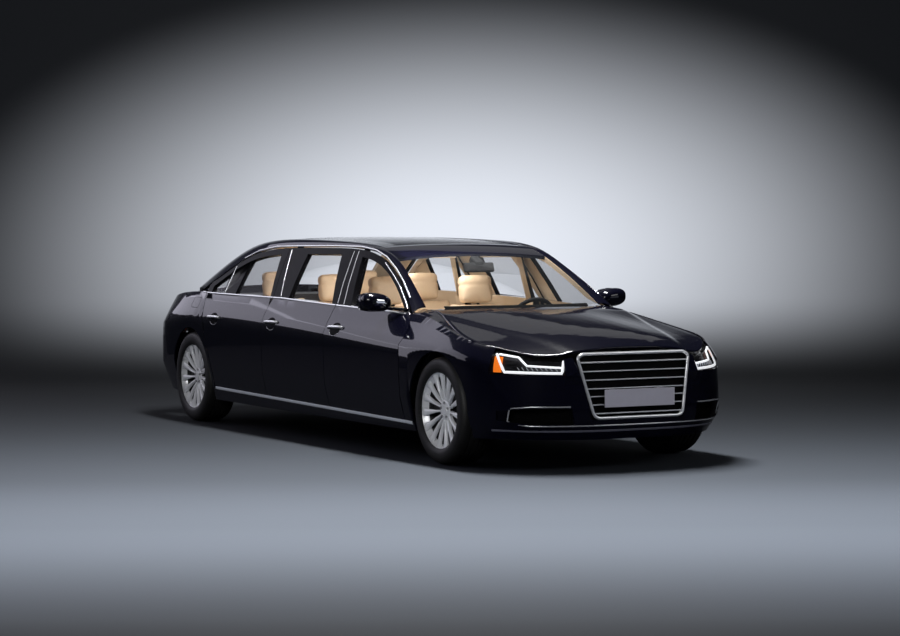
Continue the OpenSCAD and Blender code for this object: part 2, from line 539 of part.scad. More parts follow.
module bonnet() {
    color("midnightblue") bonnet_skin(skin_t);
    color("dimgray") both() difference() {
        union() {
            along_y(bonnet_axis_x, bonnet_arm_y, bonnet_arm_y + 30, bonnet_axis_z, 12);
            translate([bonnet_axis_x, bonnet_arm_y + 30, bonnet_axis_z]) rotate([90, 0, 0])
                linear_extrude(height = 30)
                polygon([[-10, 0], [-10, -40], [4, -58], [70, -58], [100, -40], [122, -6], [122, -2.5], [92,
                    0.5],
                    [88, -14], [70, -34], [30, -36], [10, -30], [10, 0]]);
        }
        along_y(bonnet_axis_x, bonnet_arm_y - 10, bonnet_arm_y + 40, bonnet_axis_z, hinge_pin_r + hub_play);
    }
}
boot_s = 15.2;
boot_in = skin_t + gap + 4;
boot_x0 = xr - 322;
boot_axis_x = xr - 274;
boot_axis_z = 1026;
BOOT_MID = [[xr - 412, 0, 1060], [xr - 700, 0, 1046], [xr - 950, 0, 1016], [tail + 66, 0, 980]];
module boot_lid() {
    e9 = wall_pt(NW - 1, 3, 0);
    s0 = wall_s(boot_x0);
    e0 = wall_pt(s0, 3, boot_in);
    c0 = function(u) let (q = spline(BOOT_MID, 3 * u)) [q[0] + (e9[0] - BOOT_MID[3][0]) * u, 0,
        q[2] + (e9[2] - BOOT_MID[3][2]) * u];
    c1 = function(u) wall_pt(mix(s0, boot_s, u), 3, boot_in);
    d0 = function(w) [mix(BOOT_MID[0][0], e0[0], w * w), e0[1] * w, mix(BOOT_MID[0][2], e0[2], pow(w, 2.2))];
    d1 = function(w) wall_pt(mix(NW - 1, boot_s, w), 3, boot_in * pow(w, 4));
    U = steps(8);
    W = [for (a = [-10:10]) a / 10];
    s_in = NW - 1 - 2.15;
    S = [for (a = [-8:8]) a / 8];
    function rear(a, t, deep) = let (p = wall_pt(mix(NW - 1, s_in, abs(a)), section_v(wall(NW - 1),
        mix(boot_low, wall(NW - 1)[8] - 1, t)), deep))
        [p[0], a < 0 ? -p[1] : p[1], p[2]];
    color("midnightblue") {
        shell([for (u = U) [for (w = W) patch(c0, c1, d0, d1, u, w, 2.4)]],
            [for (u = U) [for (w = W) patch(c0, c1, d0, d1, u, w, 2.4) - [0, 0, skin_t]]]);
        shell([for (t = steps(6)) [for (a = S) rear(a, t, 0)]], [for (t = steps(6)) [for (a = S) rear(a, t,
            skin_t)]]);
    }
    // swan-neck hinge arms
    color("dimgray") both() difference() {
        union() {
            along_y(boot_axis_x, 580, 600, boot_axis_z, 12);
            translate([boot_axis_x, 600, boot_axis_z]) rotate([90, 0, 0]) linear_extrude(height = 20)
                polygon([[-130, 6], [-100, 7], [-88, -22], [-70, -56], [-42, -80], [-14, -84], [-10, 0],
                    [10, 0],
                    [12, -90], [0, -108], [-58, -110], [-98, -78], [-122, -28]]);
        }
        along_y(boot_axis_x, 570, 610, boot_axis_z, hinge_pin_r + hub_play);
    }
}

// Tail: quarters, bumper, lamps
tail_low = 655;
boot_low = tail_low + gap + 2;
lamp_x = xr - 866;
lamp_s = NW - 1 - 2.27;
lamp_top = 845;
function tail_pt(a, s_end, z, deep) = let (p = wall_at(mix(NW - 1, s_end, abs(a)), z, deep)) [p[0], a < 0 ?
    -p[1] : p[1], p[2]];
module rear_quarters() {
    // lower and upper ends of the ribs that run from the wheel arch up to the door and the deck edge
    q1 = 180 - asin((tail_low + fit - wheel_z) / arch_r);
    function arch(q) = [xr + arch_r * cos(q), wheel_z + arch_r * sin(q)];
    function door_side(z) = [rear_shut(z) - gap - 5, z];
    z_door = belt(xr + 160)[2];
    x_top = rear_shut(z_door) - gap - 5;
    P = concat(
        [for (a = steps(5)) let (g = arch(mix(-9, 40, a))) [g, door_side(g[1])]],
        [for (a = [1:4]) let (g = arch(mix(40, 76, a / 4))) [g, door_side(mix(arch(40)[1], z_door - 1, a /
            4))]],
        [for (a = [1:6]) let (g = arch(mix(76, q1, a / 6)), x = mix(x_top, xr - 380, a / 6)) [g, [x,
            belt(x)[2]]]],
        [for (a = [1:5]) let (x = mix(arch(q1)[0], lamp_x + 10, a / 5), u = mix(xr - 380, lamp_x + 10, a / 5))
            [[x, tail_low + fit], [u, belt(u)[2]]]]);
    function pt(p, t, deep) = let (q = mix(p[0], p[1], t))
        q[0] < xr - 380 ? wall_at(wall_s(q[0]), q[1], deep) : side_z(q[0], q[1], deep);
    S = [for (a = steps(6)) mix(wall_s(lamp_x + 18), lamp_s, a)];
    function deck(t, j, deep) = let (a = mix(frame_pt(11, 0, 0), frame_pt(11, 1, 0), t) + [-4, 4, -2],
        x = mix(a[0], boot_x0 + gap + 11, t * 0.98), b = belt(x)) mix(b - [0, 0.5, 0], [a[0], a[1],
            max(b[2], a[2] - 14)], j) - [0, 0, deep];
    color("midnightblue") both() {
        shell([for (j = steps(2)) [for (t = [0.12, 0.4, 0.7, 1]) deck(t, j, 0)]],
            [for (j = steps(2)) [for (t = [0.12, 0.4, 0.7, 1]) deck(t, j, skin_t)]]);
        shell([for (t = steps(6)) [for (p = P) pt(p, t, 0)]],
            [for (t = steps(6)) [for (i = [0:len(P) - 1]) pt([P[i][0], P[i][1] - [i < 10 ? 8 * min(1, i) + 2
                : 0, 0]], t, skin_t)]]);
        shell([for (z = [0, 0.5, 1]) [for (s = S) wall_pt(s, section_v(wall(s), mix(lamp_top + fit,
            wall(s)[8] - 20, z)), 0.6)]],
            [for (z = [0, 0.5, 1]) [for (s = S) wall_pt(s, section_v(wall(s), mix(lamp_top + fit, wall(s)[8]
                - 20, z)), skin_t - 0.6)]]);
    }
}
module rear_bumper() {
    function pt(a, t, deep) = let (s0 = wall_s(arch_x(xr, mix(240, tail_low, t), -1)),
        s = mix(NW - 1, s0, abs(a)), r = wall(s))
        tail_pt(a, s0, t < 0.4 ? mix(r[2], r[4], t / 0.4) : mix(r[4], tail_low, (t - 0.4) / 0.6), deep);
    T = [0, 0.2, 0.4, 0.6, 0.8, 1];
    color("midnightblue") shell([for (t = T) [for (a = [-18:18]) pt(a / 18, t, 0)]],
        [for (t = T) [for (a = [-18:18]) pt(a / 18, t, skin_t)]]);
}
module tail_lamps() {
    S = [for (a = steps(8)) mix(wall_s(lamp_x) + 0.002, lamp_s, a)];
    color("darkred") both() shell(
        [for (t = steps(3)) [for (s = S) wall_at(s, mix(tail_low + fit, lamp_top, t), 1)]],
        [for (t = steps(3)) [for (s = S) wall_at(s, mix(tail_low + fit, lamp_top, t), 50)]]);
}
module sill_trims() {
    X = [for (a = steps(6)) mix(xr + arch_r + 4, xf - arch_r - 4, a)];
    color("midnightblue") both() shell(
        [for (t = steps(3)) [for (x = X) side_z(x, mix(wall(wall_s(x))[2], sill_z(x) - fit, t))]],
        [for (t = steps(3)) [for (x = X) [x, hw - 136, mix(wall(wall_s(x))[2], sill_z(x) - fit, t)]]]);
}

// Structure under the panels
floor_z = 190;
floor_t = 16;
sill_in = hw - 136 - fit;
sill_h = 330;
cabin_x0 = xr + 420;
cabin_x1 = xf - 460;
apron_y = 468;
jack_x = 1180;
shelf_h = boot_axis_z - 26;
module floor_pan() {
    color("dimgray") {
        block(cabin_x0, cabin_x1, -sill_in, sill_in, floor_z, floor_z + floor_t);
        both() block(cabin_x0, cabin_x1, sill_in - 90, sill_in, floor_z, sill_h);
        block(cabin_x0, cabin_x1, -108, 108, floor_z, floor_z + 90);
        both() for (x = [jack_x, -jack_x]) block(x - 40, x + 40, sill_in - 70, sill_in - 20, floor_z - 14,
            floor_z + 1);
    }
}
module mate(s0, s1, z0, z1, x1, deep) {
    shell([for (z = [z0, z1]) [for (s = steps(3)) wall_at(mix(s0, s1, s), z, deep)]],
        [for (z = [z0, z1]) [for (s = steps(3)) let (p = wall_at(mix(s0, s1, s), z, deep)) [x1, p[1], z]]]);
}
module front_structure() {
    color("dimgray") {
        block(cabin_x1, cabin_x1 + 16, -737, 737, floor_z, 900);
        both() {
            block(cabin_x1 + 15, xf + 760, apron_y - 40, apron_y, 300, 400);
            block(cabin_x1 + 15, xf + 480, apron_y - 12, apron_y, 399, 800);
            mate(1.62, 1.9, 470, 560, xf + 755, skin_t + 2);
            block(xf + 720, xf + 760, apron_y - 40, apron_y + 60, 390, 570);
            // shelf that carries the fender
            shell([for (z = [806, 846]) [for (x = [xf - 60, xf, xf + 60]) side_z(x, z, skin_t + 1)]],
                [for (z = [806, 846]) [for (x = [xf - 60, xf, xf + 60]) [x, apron_y - 10, z]]]);
            block(xf - 60, xf + 60, apron_y - 12, apron_y, 790, 846);
            // bonnet hinge lug and pin
            translate([bonnet_axis_x, bonnet_arm_y + 47, bonnet_axis_z]) rotate([90, 0, 0])
                linear_extrude(height = 12)
                polygon([[-14, -12], [-14, 10], [4, 9], [16, -4], [140, -80], [140, -112], [100, -112]]);
            along_y(bonnet_axis_x, bonnet_arm_y - 4, bonnet_arm_y + 36, bonnet_axis_z, hinge_pin_r);
        }
    }
}
module rear_structure() {
    color("dimgray") {
        block(cabin_x0 - 16, cabin_x0, -640, 640, floor_z, 470);
        block(xr - 985, cabin_x0, -640, 640, 454, 470);
        block(xr + 230, xr + 246, -640, 640, 469, shelf_h);
        block(xr - 250, xr + 246, -640, 640, shelf_h - 15, shelf_h);
        both() {
            block(xr - 800, xr + 246, 628, 640, 469, 800);
            mate(NW - 2.6, NW - 2.15, 500, 600, xr - 965, skin_t + 0.8);
            block(xr - 985, xr - 955, 300, 600, 469, 620);
            shell([for (z = [850, 880]) [for (x = [xr - 60, xr, xr + 60]) side_z(x, z, skin_t + 1)]],
                [for (z = [850, 880]) [for (x = [xr - 60, xr, xr + 60]) [x, 630, z]]]);
            block(xr - 60, xr + 60, 628, 640, 799, 880);
            along_y(boot_axis_x, 577, 606, boot_axis_z, hinge_pin_r);
            block(boot_axis_x - 12, xr - 244, 605, 617, shelf_h - 15, boot_axis_z + 12);
        }
    }
}
module liner(x, r, y0, y1) {
    translate([x, y0, wheel_z]) rotate([-90, 0, 0]) intersection() {
        difference() {
            cylinder(r = r + 4, h = y1 - y0, $fn = 64);
            translate([0, 0, -1]) cylinder(r = r, h = y1 - y0 + 2, $fn = 64);
        }
        translate([-600, -600, -1]) cube([1200, 640, y1 - y0 + 2]);
    }
}
module wheel_liners() {
    color("black") both() {
        difference() {
            liner(xf, liner_r, apron_y + fit, hw - 80);
            translate([xf, kf, 600]) cylinder(r = 45, h = 400);
        }
        liner(xr, arch_r + 8, 640 + fit, hw - 84);
    }
}
// Post faces: height, then distance of the outer and inner face in from the body width
pillar_in = 118;
POST = [[sill_h + fit, 132, 216], [480, pillar_in, 216], [822, pillar_in, 216], [890, 158, 228], [925, 182,
    240],
    [1010, 222, 262]];
POST_FRONT = [[sill_h + fit, 132, 216], [480, pillar_in, 216], [770, pillar_in, 216], [800, 142, 222]];
module pillars() {
    color("dimgray") both() {
        for (k = [0, 1, 2]) let (x = DOOR_FRONT[k], rows = k > 0 ? POST : POST_FRONT) shell(
            [for (q = rows) [for (e = [-92, 50]) [x + e, hw - q[1], q[0]]]],
            [for (q = rows) [for (e = [-92, 50]) [x + e, hw - q[2], q[0]]]]);
        for (k = [1, 2]) let (x = DOOR_FRONT[k] - 5) shell(
            [for (t = [0, 1]) [for (e = [-40, 40]) let (p = under(x + e, 0.12) - [0, 6, fit + 3.3])
                [x + e, t == 0 ? hw - 223 : p[1], t == 0 ? 1000 : p[2]]]],
            [for (t = [0, 1]) [for (e = [-40, 40]) let (p = under(x + e, 0.55) - [0, 0, fit + 3.3])
                [x + e, t == 0 ? hw - 261 : p[1], t == 0 ? 1000 : p[2]]]]);
    }
}
// Inner face of the roof rail over a post
function under(x, w) = frame_pt(find(DLO, x, 0, ND), w, pillar_t);
module cowl() {
    W = [for (a = [-5:5]) a / 6 * glass_edge];
    R = [[0.12, 0, 0], [0, 0, 0], [0, 14, -40], [0, 100, -75]];
    color("black") shell([for (r = R) [for (w = W) top_pt(r[0], w, 3 + glass_t + 0.6) + [r[1], 0, r[2]]]],
        [for (r = R) [for (w = W) top_pt(r[0], w, 3 + glass_t + 0.6) + [r[1] - 4, 0, r[2] - 5]]]);
}
module door_hinges() {
    color("dimgray") both() for (k = [0, 1, 2]) for (z = HINGE_Z) {
        translate([hinge_x(k), hinge_y, z - 1]) cylinder(r = hinge_pin_r, h = hinge_h + 20);
        translate([hinge_x(k), hinge_y, z + hinge_h + 0.5]) cylinder(r = hinge_eye_r, h = 22);
        block(hinge_x(k) - 9, hinge_x(k) + 9, hw - pillar_in + fit, hinge_y, z + hinge_h + 0.5, z + hinge_h
            + 22.5);
    }
}

// Cabin
module dashboard() {
    color("black") difference() {
        translate([0, 670, 0]) rotate([90, 0, 0]) linear_extrude(height = 1340) polygon([
            [cabin_x1 - fit, 600], [cabin_x1 - fit, 868], [cabin_x1 - 100, 910], [cabin_x1 - 240, 950],
            [cabin_x1 - 390, 950], [cabin_x1 - 445, 895], [cabin_x1 - 430, 770], [cabin_x1 - 330, 650]]);
        column_place() translate([0, 0, 60]) cylinder(r = 20 + hub_play, h = 150);
        // room for the bonnet hinges
        both() block(cabin_x1 - 165, cabin_x1 + 1, bonnet_arm_y - 8, bonnet_arm_y + 55, 850, 1000);
    }
}
module console() {
    z = floor_z + 90 + fit;
    color("tan") for (q = [[xf - 1720, xf - 840, 520], [xf - 2560, xf - 1820, 560], [xf - 3560, xf - 2900,
        600]])
        block(q[0], q[1], -108, 108, z, q[2]);
}
seat_w = 500;
seat_y = 370;
module seat(x) {
    z = floor_z + floor_t + fit;
    translate([x, seat_y + seat_w / 2, 0]) rotate([90, 0, 0]) linear_extrude(height = seat_w) polygon([
        [340, z], [360, 330], [530, 400], [545, 450], [500, 492], [120, 462], [40, 500], [-70, 960], [-110,
            1000],
        [-160, 995], [-190, 950], [-90, 420], [-60, z]]);
    translate([x, seat_y + 140, 0]) rotate([90, 0, 0]) linear_extrude(height = 280) polygon([
        [-80, 1012], [-60, 1060], [-75, 1170], [-110, 1195], [-160, 1190], [-185, 1150], [-180, 1050],
            [-160, 1012]]);
    for (y = [-60, 60]) translate([x - 125, seat_y + y, 980]) cylinder(r = 8, h = 50);
}
module seats_front() { color("tan") both() seat(xf - 1790); }
module seats_middle() { color("tan") both() seat(xf - 2650); }
module seats_rear() { color("tan") both() seat(xr + 530); }
wheel_y = 370;
column_tilt = 25;
column_x = cabin_x1 - 610;
column_z = 870;
module column_place() { translate([column_x, wheel_y, column_z]) rotate([0, 90 + column_tilt, 0])
    children(); }
module steering_wheel() {
    color("black") column_place() {
        rotate_extrude() translate([180, 0]) circle(r = 15);
        cylinder(r = 62, h = 40, center = true);
        for (a = [90, 180, 270]) rotate([0, 0, a]) translate([40, -18, -8]) cube([136, 36, 16]);
        cylinder(r = 20, h = 190);
    }
}

// Running gear
module engine() {
    color("gray") {
        block(xf - 340, xf + 350, -240, 240, 340, 800);
        both() block(xf - 40, xf + 40, 239, apron_y - 40 - fit, 345, 390);
    }
}
arm_low = 205;
arm_high = 478;
arm_t = 22;
module arm(z, y0) {
    difference() {
        union() {
            translate([xf, kf, z]) cylinder(r = 28, h = arm_t);
            translate([0, 0, z]) linear_extrude(height = arm_t) polygon([[xf - 60, y0], [xf + 60, y0],
                [xf + 22, kf - 16], [xf - 22, kf - 16]]);
        }
        translate([xf, kf, z - 1]) cylinder(r = 12 + hub_play, h = arm_t + 2);
    }
}
module front_axle() {
    color("gray") {
        block(xf - 70, xf + 70, -400, 400, 200, 250);
        both() {
            arm(arm_low, 395);
            arm(arm_high, apron_y + fit);
            block(xf + 30, xf + 69, 390, apron_y - 2, 240, 300 - fit);
        }
    }
}
hub_off = 40;
module stub(y, inner) {
    along_y(0, y + inner, y + hub_off + 28, wheel_z, hub_bore_d / 2 - hub_play);
}
module caliper(y) {
    intersection() {
        along_y(0, y - 4, y + 44, wheel_z, 206);
        block(-206, -95, y - 4, y + 44, wheel_z - 20, wheel_z + 130);
    }
}
module disc_room(y) { along_y(0, y + 5, y + 35, wheel_z, disc_d / 2 + 5); }
module knuckle() {
    y = track_front / 2;
    color("gray") translate([xf, 0, 0]) {
        stub(y, -95);
        translate([0, kf, arm_low + arm_t + 0.5]) cylinder(r = 30, h = arm_high - arm_low - arm_t - 1);
        translate([0, kf, arm_low - 6]) cylinder(r = 12, h = arm_high - arm_low + arm_t + 12);
        block(-170, -20, kf - 16, kf + 16, wheel_z + 20, wheel_z + 90);
        block(-175, -125, kf - 16, y + 1, wheel_z + 20, wheel_z + 90);
        difference() {
            caliper(y);
            disc_room(y);
        }
    }
}
module knuckle_l() { knuckle(); }
module knuckle_r() { right_side() knuckle(); }
module rear_axle() {
    y = track_rear / 2;
    color("gray") {
        block(xr - 150, xr + 150, -380, 380, 230, 300);
        block(xr - 120, xr + 120, -150, 150, 250, 420);
        both() {
            translate([xr, 0, 0]) {
                stub(y, -130);
                along_y(0, y - 190, y - 120, wheel_z, 60);
                translate([0, 0, 235]) linear_extrude(height = 30) polygon([[-130, 375], [130, 375], [60, y
                    - 130],
                    [-60, y - 130]]);
                block(-60, 60, y - 190, y - 135, 236, wheel_z);
                block(100, 149, 330, 380, 290, 454 - fit);
                block(-150, -40, y - 150, y - 122, wheel_z + 10, wheel_z + 60);
                block(-175, -125, y - 150, y + 1, wheel_z + 10, wheel_z + 60);
                difference() {
                    caliper(y);
                    disc_room(y);
                }
            }
        }
    }
}
module exhaust() {
    color("silver") both() {
        translate([xr - 640, 250, 150]) rotate([0, 90, 0]) cylinder(r = 30, h = wheelbase + 200);
        for (x = [xf - 900, 0]) block(x - 20, x + 20, 240, 260, 170, floor_z - fit);
        block(xr - 960, xr - 560, 180, 560, 260, 400);
        block(xr - 660, xr - 600, 220, 280, 140, 270);
        block(xr - 780, xr - 740, 300, 340, 395, 454 - fit);
        block(xr - 1020, xr - 950, 330, 500, 290, 350);
    }
}
module rim() {
    a = rim_d / 2;
    b = rim_w / 2;
    color("silver") {
        rotate_extrude($fn = 72) polygon([[a + 15.7, -b], [a + 15.7, -b + 8], [a + 1.7, -b + 12], [a, -b +
            30],
            [a - 13, -60], [a - 17, 20], [a, 60], [a + 1.7, b - 12], [a + 15.7, b - 8], [a + 15.7, b], [a +
                5, b],
            [a - 5, b - 16], [a - 11, 70], [a - 27, 20], [a - 27, -60], [a - 9, -b + 20], [a + 5, -b]]);
        difference() {
            rotate_extrude($fn = 72) polygon([[0, 72], [hub_bore_d / 2, 72], [hub_bore_d / 2, hub_off], [80,
                hub_off],
                [86, 62], [150, 72], [a - 8, 84], [a - 8, 104], [150, 100], [86, 92], [60, 82], [0, 82]]);
            for (i = [0:spokes - 1]) rotate([0, 0, i * 360 / spokes]) translate([0, 0, 30])
                linear_extrude(height = 100) polygon([[86, -10], [a - 19, -34], [a - 14, 0], [a - 19, 34],
                    [86, 10]]);
        }
        difference() {
            translate([0, 0, 5 + 0.5]) cylinder(r = disc_d / 2, h = 29);
            translate([0, 0, 0]) cylinder(r = 74, h = 28);
            cylinder(r = hub_bore_d / 2, h = 60);
        }
        difference() {
            translate([0, 0, 28]) cylinder(r = 80, h = hub_off - 27);
            translate([0, 0, 20]) cylinder(r = hub_bore_d / 2, h = 40);
        }
    }
}
module tyre() {
    h = tyre_d / 2;
    w = tyre_w / 2;
    a = rim_d / 2;
    b = rim_w / 2;
    S = [[a + 2.3, b - 12.5], [a + 17.2, b - 9.5], [a + 22.7, w - 5], [285, w], [318, w - 1], [h - 12, w -
        10],
        [h - 3, w - 24], [h, w - 55]];
    I = [[a + 2.3, b - 28.5], [a + 20.7, b - 32.5], [h - 26, w - 32], [h - 18, w - 55]];
    color("black") rotate_extrude($fn = 72) polygon(concat(S, [for (i = [len(S) - 1:-1:0]) [S[i][0],
        -S[i][1]]],
        [for (p = I) [p[0], -p[1]]], [for (i = [len(I) - 1:-1:0]) I[i]]));
}
module wheel_place(x, y, dir) { translate([x, y, wheel_z]) rotate([dir > 0 ? -90 : 90, 0, 0]) children(); }
module rim_fl() { wheel_place(xf, track_front / 2, 1) rim(); }
module rim_fr() { wheel_place(xf, -track_front / 2, -1) rim(); }
module rim_rl() { wheel_place(xr, track_rear / 2, 1) rim(); }
module rim_rr() { wheel_place(xr, -track_rear / 2, -1) rim(); }
module tyre_fl() { wheel_place(xf, track_front / 2, 1) tyre(); }
module tyre_fr() { wheel_place(xf, -track_front / 2, -1) tyre(); }
module tyre_rl() { wheel_place(xr, track_rear / 2, 1) tyre(); }
module tyre_rr() { wheel_place(xr, -track_rear / 2, -1) tyre(); }
mirror_x = xf - 985;
mirror_y = 955;
mirror_z = 1040;
mirror_w = 194;
mirror_h = 130;
mirror_deep = 125;
module mirror_body() {
    // housing with a bulged front and a flat back, and the arm to the front corner of the door's window frame
    N = [for (a = [-4:4]) a / 4];
    function head(a, b, k) = [mirror_x + k * mirror_deep * (1 - 0.55 * a * a) * (1 - 0.5 * b * b),
        mirror_y + mirror_w / 2 * a * sqrt(1 - 0.3 * b * b), mirror_z + mirror_h / 2 * b * sqrt(1 - 0.35 * a
            * a)];
    X = [xf - 748, xf - 726, xf - 704];
    color("midnightblue") {
        shell([for (b = N) [for (a = N) head(a, b, 1)]], [for (b = N) [for (a = N) head(a, b, 0)]]);
        shell([for (z = [982, 1002]) [for (x = X) green(x, z, -0.3)]],
            [for (z = [992, 1014]) [for (x = X) [x - 215, mirror_y - 52, z]]]);
    }
}
module mirror_l() { mirror_body(); }
module mirror_r() { right_side() mirror_body(); }

floor_pan();
front_structure();
rear_structure();
wheel_liners();
pillars();
body_sides();
roof_panel();
roof_glass();
windscreen();
rear_window();
front_fenders();
rear_quarters();
front_bumper();
rear_bumper();
grille();
number_plate();
headlamps();
tail_lamps();
cowl();
sill_trims();
door_hinges();
dashboard();
console();
seats_front();
seats_middle();
seats_rear();
engine();
front_axle();
rear_axle();
exhaust();
bonnet();
boot_lid();
door_fl();
door_fr();
door_ml();
door_mr();
door_rl();
door_rr();
glass_fl();
glass_fr();
glass_ml();
glass_mr();
glass_rl();
glass_rr();
mirror_l();
mirror_r();
knuckle_l();
knuckle_r();
rim_fl();
rim_fr();
rim_rl();
rim_rr();
tyre_fl();
tyre_fr();
tyre_rl();
tyre_rr();
steering_wheel();
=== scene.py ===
import math
import bmesh
import bpy
from mathutils import Matrix, Vector
from mathutils.bvhtree import BVHTree


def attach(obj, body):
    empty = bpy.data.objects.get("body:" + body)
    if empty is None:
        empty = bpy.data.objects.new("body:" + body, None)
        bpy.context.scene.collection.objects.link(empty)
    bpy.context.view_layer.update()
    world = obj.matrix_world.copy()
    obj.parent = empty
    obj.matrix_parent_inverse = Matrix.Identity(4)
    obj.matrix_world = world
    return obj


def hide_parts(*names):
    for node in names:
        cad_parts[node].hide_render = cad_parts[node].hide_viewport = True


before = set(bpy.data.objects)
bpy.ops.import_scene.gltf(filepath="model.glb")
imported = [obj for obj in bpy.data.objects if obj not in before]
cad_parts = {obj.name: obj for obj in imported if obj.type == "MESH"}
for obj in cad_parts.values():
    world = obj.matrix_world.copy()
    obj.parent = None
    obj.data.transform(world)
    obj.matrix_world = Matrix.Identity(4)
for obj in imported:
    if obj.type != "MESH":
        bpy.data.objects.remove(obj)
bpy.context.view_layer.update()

# The studio: a grey floor that bends up into a wall, a lamp overhead, long soft boxes behind the car, smaller ones
# ahead of it and three small lamps under the roof. The floor's colour holds a painted pool of light and is painted
# dark in reflections; the wall holds a painted round glow. The wall is seen from its front only. The camera stands
# low off the right front corner with a long lens.
scene = bpy.context.scene
scene.view_settings.view_transform = "Standard"
photo_wide, focal, centre_drop = 900, 2687.07, 3.29
yaw, pitch, roll = math.radians(152.107), math.radians(-2.299), math.radians(-0.218)
ahead = Vector((math.cos(pitch) * math.cos(yaw), math.cos(pitch) * math.sin(yaw), math.sin(pitch)))
level = ahead.cross(Vector((0, 0, 1))).normalized()
upright = level.cross(ahead)
across = level * math.cos(roll) + upright * math.sin(roll)
upward = upright * math.cos(roll) - level * math.sin(roll)
stand = Vector((17.7772, -9.1015, 1.6921))
lens = bpy.data.cameras.new("photo_camera")
camera = bpy.data.objects.new("photo_camera", lens)
scene.collection.objects.link(camera)
camera.matrix_world = Matrix.Translation(stand) @ Matrix((across, upward, -ahead)).transposed().to_4x4()
lens.sensor_fit = "HORIZONTAL"
lens.sensor_width = 36
lens.lens = focal / photo_wide * 36
lens.shift_y = -centre_drop / photo_wide
lens.clip_end = 300
scene.camera = camera


def new_material(name):
    mat = bpy.data.materials.new(name)
    mat.use_nodes = True
    return mat, mat.node_tree.nodes, mat.node_tree.links, mat.node_tree.nodes["Principled BSDF"]


def add_node(nodes, kind, **values):
    node = nodes.new(kind)
    for key, value in values.items():
        if hasattr(node, key):
            setattr(node, key, value)
        else:
            node.inputs[key].default_value = value
    return node


def finish_mesh(bm, name, mats=(), smooth=35):
    mesh = bpy.data.meshes.new(name)
    bm.to_mesh(mesh)
    bm.free()
    if smooth:
        mesh.shade_smooth()
        mesh.set_sharp_from_angle(angle=math.radians(smooth))
    for mat in mats:
        mesh.materials.append(mat)
    obj = bpy.data.objects.new(name, mesh)
    scene.collection.objects.link(obj)
    return obj


flat_ahead = Vector((math.cos(yaw), math.sin(yaw), 0))
foot = Vector((stand.x, stand.y, 0))
floor_near, floor_end, floor_side = -30, 26, 60
bend, wall_top, wall_left = 2, 4.4, -5.5
wall_far = floor_end + bend
floor_line = [(floor_near, 0), (floor_end, 0)]
wall_line = [(floor_end + bend * math.sin(a * math.pi / 24), bend - bend * math.cos(a * math.pi / 24))
             for a in range(13)] + [(wall_far, wall_top)]
bm = bmesh.new()
for outline, start in ((floor_line, -floor_side), (wall_line, wall_left)):
    line = [bm.verts.new(foot + flat_ahead * d + level * start + Vector((0, 0, z))) for d, z in outline]
    edges = [bm.edges.new(pair) for pair in zip(line, line[1:])]
    side = bmesh.ops.extrude_edge_only(bm, edges=edges)["geom"]
    bmesh.ops.translate(bm, verts=[v for v in side if isinstance(v, bmesh.types.BMVert)],
                        vec=level * (floor_side - start))
bm.normal_update()
bmesh.ops.reverse_faces(bm, faces=[f for f in bm.faces if f.normal.dot(stand - f.calc_center_median()) < 0])
studio_paint, nodes, links, shader = new_material("studio_paint")
shader.inputs["Roughness"].default_value = 0.8
shader.inputs["Specular IOR Level"].default_value = 0.15
place = add_node(nodes, "ShaderNodeTexCoord")
pool_shift = add_node(nodes, "ShaderNodeMapping", vector_type="TEXTURE", Location=foot, Rotation=(0, 0, yaw))
pool_far = add_node(nodes, "ShaderNodeSeparateXYZ")
pool_span = add_node(nodes, "ShaderNodeMapRange")
pool_span.inputs["From Min"].default_value = 8.0
pool_span.inputs["From Max"].default_value = wall_far
pool = add_node(nodes, "ShaderNodeValToRGB")
pool.color_ramp.interpolation = "B_SPLINE"
# Painted pool of light: the floor's colour is brightest some metres in front of the car on the camera's side and falls
# to near black around the car and towards the wall.
POOL = ((0.10, 0.036), (0.15, 0.11), (0.24, 0.44), (0.31, 0.36), (0.43, 0.090), (0.62, 0.018), (0.84, 0.006))
for where, grey in POOL:
    stop = pool.color_ramp.elements.new(where)
    stop.color = (grey * 0.88, grey, grey * 1.2, 1)
pool.color_ramp.elements[0].color = (0.06, 0.07, 0.085, 1)
pool.color_ramp.elements[-1].color = (0.005, 0.0055, 0.0065, 1)
links.new(place.outputs["Object"], pool_shift.inputs["Vector"])
links.new(pool_shift.outputs["Vector"], pool_far.inputs[0])
links.new(pool_far.outputs["X"], pool_span.inputs["Value"])
links.new(pool_span.outputs[0], pool.inputs["Fac"])
# Painted reflection: in reflections the floor takes a near-black colour in place of its pool, so the car's lower sides
# mirror darkness.
painted_dark_reflection = add_node(nodes, "ShaderNodeMix", data_type="RGBA")
painted_dark_reflection.inputs[7].default_value = (0.006, 0.007, 0.009, 1)
links.new(pool.outputs["Color"], painted_dark_reflection.inputs[6])
links.new(painted_dark_reflection.outputs[2], shader.inputs["Base Color"])
# Painted glow: a round patch on the wall, pale in the middle and near black at its edges, is emitted only towards the
# camera, reflections and glass, so it lights nothing.
glow_at = foot + flat_ahead * wall_far + level * 0.1 + Vector((0, 0, 1.24))
glow_shift = add_node(nodes, "ShaderNodeMapping", vector_type="TEXTURE", Location=glow_at,
                      Rotation=(0, 0, yaw), Scale=(60, 5.7, 2.95))
glow_far = add_node(nodes, "ShaderNodeVectorMath", operation="LENGTH")
glow = add_node(nodes, "ShaderNodeValToRGB")
glow.color_ramp.interpolation = "EASE"
glow.color_ramp.elements[0].color = (0.80, 0.84, 0.92, 1)
glow.color_ramp.elements[1].color = (0.003, 0.0035, 0.0045, 1)
glow.color_ramp.elements[0].position = 0.05
glow.color_ramp.elements[1].position = 1.0
seen_by = add_node(nodes, "ShaderNodeLightPath")
seen_eye = add_node(nodes, "ShaderNodeMath", operation="MAXIMUM")
